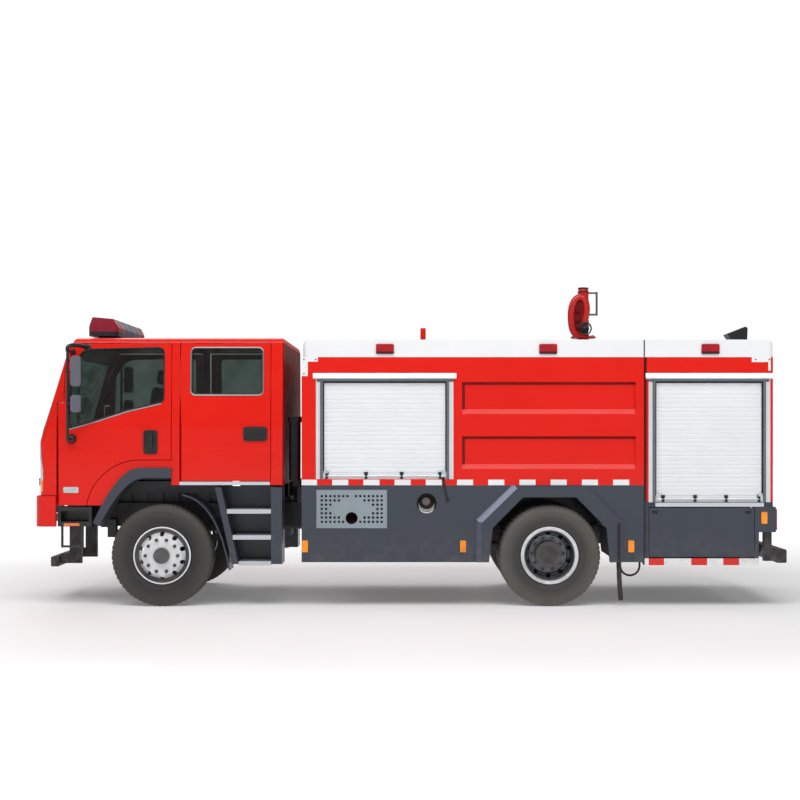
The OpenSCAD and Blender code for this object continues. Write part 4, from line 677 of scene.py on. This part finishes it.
def swollen(size):
    """Mesh of a pad: remeshed, swollen by pressure, with sewn channels.

    size is (across the channels, along them, thickness)."""
    bm = bmesh.new()
    bmesh.ops.create_cube(bm, size=1.0)
    bmesh.ops.scale(bm, vec=[c - 2 * SWELL for c in size], verts=bm.verts)
    bmesh.ops.bevel(bm, geom=bm.edges[:], offset=0.028, segments=3, affect="EDGES", profile=0.5)
    obj = bpy.data.objects.new("pad_work", mesh_from("pad_work", bm))
    scene.collection.objects.link(obj)
    remesh = obj.modifiers.new("remesh", "REMESH")
    remesh.mode = "VOXEL"
    remesh.voxel_size = 0.014
    graph = bpy.context.evaluated_depsgraph_get()
    even = bpy.data.meshes.new_from_object(obj.evaluated_get(graph))
    obj.modifiers.clear()
    obj.data = even
    before = [v.co.copy() for v in even.vertices]
    cloth = obj.modifiers.new("cloth", "CLOTH")
    cloth.settings.use_pressure = True
    cloth.settings.uniform_pressure_force = 4.0
    cloth.settings.effector_weights.gravity = 0.0
    cloth.settings.quality = 4
    for f in range(1, CLOTH_FRAMES + 1):
        scene.frame_set(f)
    graph = bpy.context.evaluated_depsgraph_get()
    done = bpy.data.meshes.new_from_object(obj.evaluated_get(graph))
    moved = [v.co.copy() for v in done.vertices]
    scene.frame_set(1)
    bpy.data.objects.remove(obj)
    for v, a, b in zip(even.vertices, before, moved):
        step = b - a
        if step.length > PAD_CAP:
            step *= PAD_CAP / step.length
        v.co = a + step
    for v in even.vertices:
        for line in CHANNELS:
            off = abs(v.co.x - line * size[0])
            if off < CHANNEL_REACH and abs(v.co.y) < size[1] * 0.36:
                v.co.z -= math.copysign(CHANNEL_DEPTH * (1 - off / CHANNEL_REACH), v.co.z)
    for p in even.polygons:
        p.use_smooth = True
    return even


def pad(name, mesh, place, rake=0.0, upright=False):
    """Set a copy of a swollen pad in the cab."""
    mesh = mesh.copy()
    turn = Matrix.Identity(4)
    if upright:
        turn = Matrix.Rotation(math.radians(90), 4, "Y")
    mesh.transform(Matrix.Translation(place) @ Matrix.Rotation(math.radians(-rake), 4, "Y") @ turn)
    obj = add(name, mesh, "chassis", seat_cloth)
    obj.modifiers.new("smooth", "SUBSURF").levels = 1
    obj.modifiers["smooth"].render_levels = 1
    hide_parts("seats")


BACK_RAKE = 8.0


def raked(x, z, along, across):
    """Point of a backrest that leans back from (x, z): height along it, depth across it."""
    a = math.radians(BACK_RAKE)
    return x - along * math.sin(a) + across * math.cos(a), z + along * math.cos(a) + across * math.sin(a)


FRONT_DEPTH, BENCH_DEPTH, BACK_HEIGHT = 0.50, 0.48, 0.56
FRONT_WIDTH, BENCH_WIDTH = 0.52, 0.65
PAD_THICK, BACK_THICK, PAD_RISE = 0.13, 0.11, 0.066
BACK_FOOT, HEAD_UP = 0.122, 0.645
front_pad = swollen((FRONT_DEPTH, FRONT_WIDTH, PAD_THICK))
front_back = swollen((BACK_HEIGHT, FRONT_WIDTH, BACK_THICK))
bench_pad = swollen((BENCH_DEPTH, BENCH_WIDTH, PAD_THICK))
bench_back = swollen((BACK_HEIGHT, BENCH_WIDTH, BACK_THICK))
head_pad = swollen((0.18, 0.28, 0.09))


def seat(label, x, y, z, pad_mesh, back_mesh, depth):
    """Cushion and backrest on a seat box whose rear edge is at x and whose top is at z."""
    pad("seat_pad_" + label, pad_mesh, (x + depth / 2, y, z + PAD_RISE))
    back_x, back_z = raked(x, z + BACK_FOOT, BACK_HEIGHT / 2, BACK_THICK / 2)
    pad("seat_back_" + label, back_mesh, (back_x, y, back_z), BACK_RAKE, True)


FRONT_SEAT_X, FRONT_SEAT_Z, BENCH_X, BENCH_Z = 2.69, 1.615, 1.486, 1.555
for label, y in (("driver", 0.56), ("mate", -0.56)):
    seat(label, FRONT_SEAT_X, y, FRONT_SEAT_Z, front_pad, front_back, FRONT_DEPTH)
    head_x, head_z = raked(FRONT_SEAT_X, FRONT_SEAT_Z + BACK_FOOT, HEAD_UP, BACK_THICK / 2)
    pad("headrest_" + label, head_pad, (head_x, y, head_z), BACK_RAKE, True)
for label, y in (("crew_left", 0.66), ("crew_mid", 0.0), ("crew_right", -0.66)):
    seat(label, BENCH_X, y, BENCH_Z, bench_pad, bench_back, BENCH_DEPTH)

# Places on the cab's skin
RAKE = math.radians(17)
SCREEN_Z0, NOSE_X, BELT_Z, ROOF_EDGE_Z = 1.717, 3.860, 1.830, 2.721
SKIN_Y, TUMBLE, CREASE_Z = 1.196, 0.050, 1.616
CORNER_X, CORNER_Y = 3.822, 1.08


def side_y(z):
    """Outer face of the cab side at a height."""
    if z < CREASE_Z:
        return CAB_HALF
    if z < BELT_Z:
        return SKIN_Y
    return SKIN_Y - TUMBLE * (z - BELT_Z) / (ROOF_EDGE_Z - BELT_Z)


def nose_x(y):
    """Front outline of the cab in plan at a distance from the centreline."""
    y = abs(y)
    if y <= CORNER_Y:
        p0, c, p2 = (CORNER_X, CORNER_Y), (NOSE_X, 0.6), (NOSE_X, 0.0)
    else:
        p0, c, p2 = (3.730, CAB_HALF), (3.815, CAB_HALF), (CORNER_X, CORNER_Y)
    lo, hi = 0.0, 1.0
    for _ in range(40):
        t = (lo + hi) / 2
        if (1 - t) ** 2 * p0[1] + 2 * t * (1 - t) * c[1] + t * t * p2[1] > y:
            lo = t
        else:
            hi = t
    return (1 - t) ** 2 * p0[0] + 2 * t * (1 - t) * c[0] + t * t * p2[0]


def screen_x(y, z):
    """Raked face of the windscreen surround."""
    px = nose_x(y) - NOSE_X
    h = (z - SCREEN_Z0 - px * math.sin(RAKE)) / math.cos(RAKE)
    return NOSE_X + px * math.cos(RAKE) - h * math.sin(RAKE)


def along(points, step=0.06, closed=True):
    """Extra points on the straight runs of an outline."""
    out = []
    n = len(points)
    for i in range(n if closed else n - 1):
        a, b = Vector(points[i]), Vector(points[(i + 1) % n])
        parts = max(1, int((b - a).length / step))
        out += [a + (b - a) * k / parts for k in range(parts)]
    return out if closed else out + [Vector(points[-1])]


seal_rubber = plastic("seal_rubber", srgb(24, 24, 26), 0.6, dust=0.1)
bright_trim = metal("bright_trim", srgb(214, 218, 222), 0.22, 0.9, (1.0, 30.0, 30.0))
window_trim = metal("window_trim", srgb(150, 152, 156), 0.34, 0.7, (1.0, 30.0, 30.0))
mirror_silver = metal("mirror_silver", srgb(196, 204, 210), 0.06, 1.0)
latch_black = plastic("latch_black", srgb(26, 26, 28), 0.38, dust=0.2)
plate_blank = paint("plate_blank", srgb(226, 228, 230), rough=0.4, coat=0.2, dust=0.2, top=1.4)

# Window outlines in X and Z; the front one is measured back from the door's hinge line
HINGE_X = 3.590
FRONT_WINDOW = [(HINGE_X - back, z) for back, z in (
    (0.065, 1.836), (0.094, 2.457), (0.207, 2.621), (0.289, 2.657), (1.009, 2.673), (1.050, 2.655),
    (1.060, 2.620), (1.060, 2.149), (1.050, 2.118), (1.029, 2.107), (0.680, 2.025), (0.382, 1.927))]
WINDOW_SILL = FRONT_WINDOW[:1] + FRONT_WINDOW[:8:-1]
REAR_WINDOW = rounded(1.516, 2.242, 2.190, 2.663, 0.040, 5)
REAR_FRAME = rounded(1.506, 2.252, 2.180, 2.673, 0.048, 5)
MIRROR_X, MIRROR_Y = 3.387, 1.390
MIRROR_BACK, MIRROR_FACE = MIRROR_X - 0.0480, MIRROR_X - 0.0525
ARM_X, ARM_LOW_Z, ARM_TOP_Z = 3.475, 1.730, 2.625
STAY_X, STAY_Z = 3.326, 2.676
SHUTTER_TOP_Z, CURTAIN_Y, BAR_Y = 2.322, 1.222, 1.238
SEAL_IN, SEAL_OUT = 1.196, 1.2205
JOINT_X = -2.415
for side in SIDES:
    tag = "l" if side == 1 else "r"
    front, rear = "door_f" + tag, "door_r" + tag

    def window_seal(bm, outline=FRONT_WINDOW, side=side):
        path = [(p.x, side * (side_y(p.y) - 0.003), p.y) for p in along(outline)]
        sweep(bm, path, 0.009, 8, True)

    def lower_trim(bm, side=side):
        run = along(WINDOW_SILL, closed=False)
        sweep(bm, [(p.x, side * (side_y(p.y) + 0.002), p.y - 0.016) for p in run], 0.007, 8)

    def rear_frame(bm, side=side):
        path = [(p.x, side * (side_y(p.y) + 0.001), p.y) for p in along(REAR_FRAME)]
        sweep(bm, path, 0.008, 8, True)

    def repeater(bm, side=side):
        prism(bm, rounded(3.404, 3.562, 1.172, 1.234, 0.014), side * 1.199, side * 1.209)

    piece("window_seal_f" + tag, window_seal, front, seal_rubber)
    piece("window_trim_f" + tag, lower_trim, front, window_trim)
    piece("window_seal_r" + tag, lambda bm, side=side: window_seal(bm, REAR_WINDOW, side), rear, seal_rubber)
    piece("window_frame_r" + tag, rear_frame, rear, window_trim)
    piece("side_repeater_" + tag, repeater, front, head_lens, edge=0.003)

    def mirror_faces(bm, side=side):
        for z0, z1 in ((2.285, 2.555), (2.020, 2.161)):
            points = rounded(-0.026, 0.026, z0, z1, 0.020)
            skin(bm, [[bm.verts.new((x, side * (MIRROR_Y + a), z)) for a, z in points]
                      for x in (MIRROR_FACE, MIRROR_BACK)])

    piece("mirror_glass_" + tag, mirror_faces, front, mirror_silver)

    def mirror_foot(bm, side=side):
        turned(bm, [(0.0, 0.046), (0.018, 0.050), (0.040, 0.046), (0.058, 0.030), (0.064, 0.012)],
               (ARM_X, side * SKIN_Y, ARM_LOW_Z), (0, side, 0))
        turned(bm, [(-0.012, 0.030), (0.010, 0.034), (0.030, 0.026), (0.044, 0.014)],
               (ARM_X, side * side_y(ARM_TOP_Z), ARM_TOP_Z), (0, side, 0))

    piece("mirror_foot_" + tag, mirror_foot, front, latch_black)

    def mirror_stay(bm, side=side):
        bend = [(ARM_X, MIRROR_Y, ARM_TOP_Z), (3.472, 1.386, 2.664), (3.444, 1.364, 2.684),
                (3.398, 1.310, 2.688), (3.352, 1.232, 2.682), (STAY_X, side_y(STAY_Z) - 0.004, STAY_Z)]
        route = smooth_route([Vector(p) for p in flip(bend, side)], 4)
        sweep(bm, route, 0.021, 12)
        turned(bm, [(-0.004, 0.040), (0.006, 0.040), (0.010, 0.034)],
               (STAY_X, side * side_y(STAY_Z), STAY_Z), (0, side, 0.06), 20)

    piece("mirror_stay_" + tag, mirror_stay, front, latch_black)

    # Shutters: bottom-bar clips, lift bars, guide seals and a pull strap
    for label, x0, x1, z0, clips in (("front", -0.385, 0.887, 1.316, (0.848, 0.443, 0.077, -0.318)),
                                     ("rear", -3.640, -2.531, 1.079, (-2.610, -2.939, -3.258, -3.597))):
        def clip_set(bm, clips=clips, z0=z0, side=side):
            for x in clips:
                block(bm, (x - 0.013, side * CURTAIN_Y, z0 + 0.004), (x + 0.013, side * 1.248, z0 + 0.060))
                block(bm, (x - 0.020, side * 1.224, z0 + 0.050), (x + 0.020, side * BAR_Y, z0 + 0.074))

        def lift_bar(bm, x0=x0, x1=x1, z0=z0, side=side):
            sweep(bm, [(x, side * BAR_Y, z0 + 0.032) for x in (x0 + 0.02, x1 - 0.02)], 0.0105, 12)
            for x in (x0 + 0.03, x1 - 0.03):
                block(bm, (x - 0.022, side * CURTAIN_Y, z0 + 0.014), (x + 0.022, side * 1.240, z0 + 0.090))

        def guide_seals(bm, x0=x0, x1=x1, z0=z0, side=side):
            for x in (x0 + 0.004, x1 - 0.004):
                block(bm, (x - 0.009, side * SEAL_IN, z0 + 0.066),
                      (x + 0.009, side * SEAL_OUT, SHUTTER_TOP_Z))
            block(bm, (x0 + 0.013, side * SEAL_IN, SHUTTER_TOP_Z - 0.018),
                  (x1 - 0.013, side * SEAL_OUT, SHUTTER_TOP_Z))

        name = label + "_" + tag
        piece("shutter_clips_" + name, clip_set, "chassis", latch_black, edge=0.002)
        piece("shutter_lift_bar_" + name, lift_bar, "chassis", bright_trim)
        piece("shutter_seals_" + name, guide_seals, "chassis", seal_rubber, edge=0.002)

    def strap(bm, side=side):
        run = [(-0.352, 1.243, 1.336), (-0.352, 1.247, 1.300), (-0.358, 1.250, 1.262), (-0.366, 1.248, 1.220),
               (-0.376, 1.245, 1.180), (-0.386, 1.243, 1.140), (-0.392, 1.242, 1.118)]
        section = ((-0.014, -0.0015), (0.014, -0.0015), (0.014, 0.0015), (-0.014, 0.0015))
        skin(bm, [[bm.verts.new((x + dx, side * (y + dy), z)) for dx, dy in section] for x, y, z in run])
        block(bm, (-0.412, side * 1.2405, 1.088), (-0.374, side * 1.2490, 1.122))

    piece("pull_strap_" + tag, strap, "chassis", latch_black)

    def flap_latches(bm, side=side):
        for x in (-3.486, -2.526):
            block(bm, (x - 0.026, side * 1.230, 0.966), (x + 0.026, side * 1.2385, 0.988))
            bail = ((-0.020, 1.238), (-0.014, 1.245), (0.014, 1.245), (0.020, 1.238))
            sweep(bm, [(x + dx, side * y, 0.972) for dx, y in bail], 0.004, 8)

    piece("flap_latches_" + tag, flap_latches, "flap_" + SIDE_NAME[side], latch_black)

    def roof_joint(bm, side=side):
        for y0, y1, z0, z1 in ((1.2425, 1.2462, 2.572, 2.744), (1.1850, 1.2300, 2.7495, 2.7525)):
            block(bm, (JOINT_X - 0.006, side * y0, z0), (JOINT_X + 0.006, side * y1, z1))
        for x, z in ((0.96, 2.545), (1.08, 2.545), (1.08, 2.40), (-3.70, 2.545), (-3.56, 2.545)):
            turned(bm, [(0.0, 0.008), (0.003, 0.0075), (0.005, 0.004)],
                   (x, side * 1.2435, z), (0, side, 0), 12)

    piece("roof_joint_" + tag, roof_joint, "chassis", seal_rubber)

    # Head lamps: two round units
    def lamp_units(bm, side=side):
        for y, z, r in ((0.900, 1.295, 0.072), (1.060, 1.300, 0.066)):
            x = nose_x(y) + 0.001
            turned(bm, [(0.0, r), (0.008, r), (0.010, r - 0.006), (0.006, r - 0.014), (0.004, r * 0.45),
                        (0.010, r * 0.36), (0.012, r * 0.15)], (x, side * y, z), (1, 0, side * 0.12))

    piece("lamp_units_" + tag, lamp_units, "chassis", mirror_silver)


# Windscreen seal and wipers
SCREEN = [(0.0, 1.765), (1.080, 1.765), (1.100, 1.805), (1.035, 2.550), (1.005, 2.590), (0.0, 2.590)]
screen_line = SCREEN + [(-y, z) for y, z in SCREEN[-2:0:-1]]
WIPER_FOOT_Z = 1.735


def screen_seal(bm):
    sweep(bm, [(screen_x(p.x, p.y) - 0.006, p.x, p.y) for p in along(screen_line)], 0.012, 8, True)


def wipers(bm):
    for y0, y1, y2 in ((0.62, 0.16, 0.78), (-0.10, -0.56, 0.06)):
        foot = (screen_x(y0, WIPER_FOOT_Z) + 0.012, y0, WIPER_FOOT_Z)
        mid_y, mid_z = (y1 + y2) / 2, 1.860
        sweep(bm, [foot, (screen_x(y0, 1.79) + 0.020, y0 - 0.03, 1.79),
                   (screen_x(mid_y, mid_z) + 0.016, mid_y, mid_z)], 0.008, 8)
        run = along([(y1, 1.815), (mid_y, mid_z), (y2, 1.905)], 0.1, False)
        sweep(bm, [(screen_x(p.x, p.y) + 0.004, p.x, p.y) for p in run], 0.007, 6)
        square = (math.cos(RAKE), 0, math.sin(RAKE))
        turned(bm, [(-0.010, 0.020), (0.014, 0.020), (0.022, 0.012)], foot, square, 16)


piece("windscreen_seal", screen_seal, "chassis", seal_rubber)
piece("wipers", wipers, "chassis", latch_black)

# Warning light bar: black dividers round the lenses
BAR = [(3.078, 2.815), (3.078, 2.905), (3.128, 2.995), (3.348, 3.015), (3.398, 2.905), (3.398, 2.815)]


def bar_rings(bm):
    cx, cz = 3.238, 2.90
    for y in (-0.62, -0.34, 0.0, 0.34, 0.62):
        prism(bm, [(cx + (x - cx) * 1.012, cz + (z - cz) * 1.018) for x, z in BAR], y - 0.010, y + 0.010)


piece("light_bar_rings", bar_rings, "chassis", latch_black, edge=0.002)


# Blank plates, front and rear
def plates(bm):
    x = nose_x(0.0) + 0.0355
    block(bm, (x, -0.26, 0.905), (x + 0.006, 0.26, 1.015))
    block(bm, (-3.7510, -0.26, 1.036), (-3.7455, 0.26, 1.144))


piece("blank_plates", plates, "chassis", plate_blank, edge=0.003)

# Monitor fittings
MONITOR_X, TILT_Z = -1.935, 3.012
WHEEL_Z, WHEEL_R = 2.935, 0.066
housing_paint = paint("housing_paint", srgb(112, 10, 12), rough=0.45, coat=0.05, shine=0.2)


def handwheel(bm):
    c = Vector((MONITOR_X, 0.192, WHEEL_Z))

    def rim(a):
        return c + WHEEL_R * Vector((math.cos(a), 0, math.sin(a)))

    sweep(bm, [rim(a) for a in circle(24)], 0.008, 8, True)
    for a in circle(3):
        sweep(bm, [c, rim(a + 0.4)], 0.006, 8)
    turned(bm, [(-0.060, 0.012), (-0.004, 0.012), (0.0, 0.020), (0.012, 0.020), (0.016, 0.012)],
           c, (0, 1, 0), 16)


def gearbox(bm):
    turned(bm, [(0.0, 0.044), (0.018, 0.052), (0.034, 0.046), (0.040, 0.016)],
           (MONITOR_X, 0.104, WHEEL_Z), (0, 1, 0))


def feed_pipe(bm):
    run = [(0.020, 0.095, 2.862), (0.085, 0.120, 2.868), (0.132, 0.127, 2.930), (0.148, 0.127, 3.040),
           (0.144, 0.127, 3.150), (0.112, 0.127, 3.245), (0.052, 0.124, 3.285), (-0.004, 0.122, 3.250),
           (-0.024, 0.120, 3.170), (-0.018, 0.116, 3.090), (0.0, 0.108, TILT_Z)]
    route = smooth_route([Vector(p) for p in run], 4)
    sweep(bm, [(MONITOR_X + p.x, p.y, p.z) for p in route], 0.038, 14)


def housing(bm):
    outline = [(0.020, 2.870), (0.105, 2.890), (0.128, 2.960), (0.134, 3.060), (0.126, 3.160), (0.092, 3.225),
               (0.045, 3.255), (0.004, 3.220), (-0.020, 3.140), (-0.020, 2.940)]
    prism(bm, [(MONITOR_X + x, z) for x, z in outline], 0.107, 0.124)
    for x, z, r in ((0.070, 3.130, 0.030), (0.074, 3.030, 0.026), (0.070, 2.945, 0.024)):
        turned(bm, [(0.0, r), (0.012, r), (0.018, r - 0.006), (0.018, r * 0.4), (0.030, r * 0.34)],
               (MONITOR_X + x, 0.120, z), (0, 1, 0), 20)


def flange(bm):
    turned(bm, [(0.0, 0.064), (0.0, 0.132), (0.004, 0.138), (0.020, 0.138), (0.024, 0.132), (0.024, 0.066)],
           (MONITOR_X, 0.0, 2.836), (0, 0, 1), 40)
    for k in range(8):
        a = math.pi * (k + 0.5) / 4
        turned(bm, [(0.0, 0.012), (0.010, 0.012), (0.013, 0.008)],
               (MONITOR_X + 0.108 * math.cos(a), 0.108 * math.sin(a), 2.859), (0, 0, 1), 6)


def barrel_rings(bm):
    for z, r in ((0.060, 0.047), (0.190, 0.050), (0.240, 0.063), (0.330, 0.064), (0.372, 0.060)):
        turned(bm, [(0.0, r - 0.006), (0.004, r), (0.014, r), (0.018, r - 0.006)],
               (MONITOR_X, 0.0, TILT_Z + z), (0, 0, 1))


piece("monitor_handwheel", handwheel, "monitor_head", latch_black)
piece("monitor_gearbox", gearbox, "monitor_head", latch_black)
piece("monitor_feed_pipe", feed_pipe, "monitor_head", monitor_paint)
piece("monitor_flange", flange, "monitor_head", monitor_paint)
piece("monitor_housing", housing, "monitor_head", housing_paint)
piece("monitor_barrel_rings", barrel_rings, "monitor_barrel", latch_black)


# Rubber guard on the left skirt above the drain hose
def drain_guard(bm):
    prism(bm, rounded(-2.168, -2.138, 0.474, 0.868, 0.012), BODY_HALF + 0.022, BODY_HALF + 0.034)


piece("drain_guard", drain_guard, "chassis", latch_black, edge=0.003)


# Pressed panel that closes the brow between the windscreen header and the roof, just under the chamfer
BROW_LOW, BROW_HIGH = Vector((3.640, 2.440)), Vector((3.430, 2.800))
BROW_HALF, BROW_GAP, BROW_THICK = 0.72, 0.0006, 0.006


def brow_panel(bm):
    slope = (BROW_HIGH - BROW_LOW).normalized()

    def at(y, z, depth):
        on = BROW_LOW + slope * ((z - BROW_LOW.y) / slope.y)
        return bm.verts.new((on.x - depth * slope.y, y, on.y + depth * slope.x))

    rows = []
    for k in range(25):
        share = k / 12 - 1
        low, high = 2.640 + 0.070 * share ** 2, 2.748
        heights = (low, (low + high) / 2, high)
        rows.append([at(share * BROW_HALF, z, BROW_GAP) for z in heights]
                    + [at(share * BROW_HALF, z, BROW_GAP + BROW_THICK) for z in heights[::-1]])
    skin(bm, rows)


piece("brow_panel", brow_panel, "chassis", red_paint, smooth=False)

# Floor, white backdrop and soft studio light
PURE_WHITE = (1.0, 1.0, 1.0, 1.0)
FLOOR_HALF, DOME_R = 60, 58.0
s = Shader("floor_pale", Roughness=0.7, Emission_Color=PURE_WHITE)
s.set("Base Color", s.mix(s.range(s.noise(0.8, 4.0), 0.3, 0.7), srgb(246, 246, 247), srgb(250, 250, 251)))
s.set("Emission Strength", s.range(s.hypot(s.xyz[0], s.xyz[1]), 5.0, 20.0, 0.14, 1.0))
floor_mesh = bpy.data.meshes.new("floor")
floor_mesh.from_pydata([(x * FLOOR_HALF, y * FLOOR_HALF, 0) for x, y in ((-1, -1), (1, -1), (1, 1), (-1, 1))],
                       [], [(0, 1, 2, 3)])
floor_mesh.materials.append(s.mat)
floor = bpy.data.objects.new("floor", floor_mesh)
scene.collection.objects.link(floor)
glow = Shader("backdrop_white", Base_Color=(0.0, 0.0, 0.0, 1.0), Emission_Color=PURE_WHITE,
              Emission_Strength=1.0)
dome = bmesh.new()
bmesh.ops.create_uvsphere(dome, u_segments=48, v_segments=24, radius=DOME_R)
backdrop = bpy.data.objects.new("backdrop", mesh_from("backdrop", dome))
backdrop.data.materials.append(glow.mat)
backdrop.visible_diffuse = backdrop.visible_glossy = backdrop.visible_shadow = False
scene.collection.objects.link(backdrop)
world = bpy.data.worlds.new("studio")
world.use_nodes = True
world.node_tree.nodes["Background"].inputs["Color"].default_value = PURE_WHITE
world.node_tree.nodes["Background"].inputs["Strength"].default_value = 0.22
scene.world = world
for name, place, width, depth, power in (("key", (0.5, 9.5, 13.0), 20.0, 8.0, 1900.0),
                                         ("fill", (2.0, -10.0, 9.0), 16.0, 6.0, 700.0)):
    light = bpy.data.lights.new(name, "AREA")
    light.shape = "RECTANGLE"
    light.size = width
    light.size_y = depth
    light.energy = power
    lamp = bpy.data.objects.new(name, light)
    lamp.location = place
    lamp.rotation_euler = (Vector((0.0, 0.0, 1.2)) - Vector(place)).to_track_quat("-Z", "Y").to_euler()
    scene.collection.objects.link(lamp)
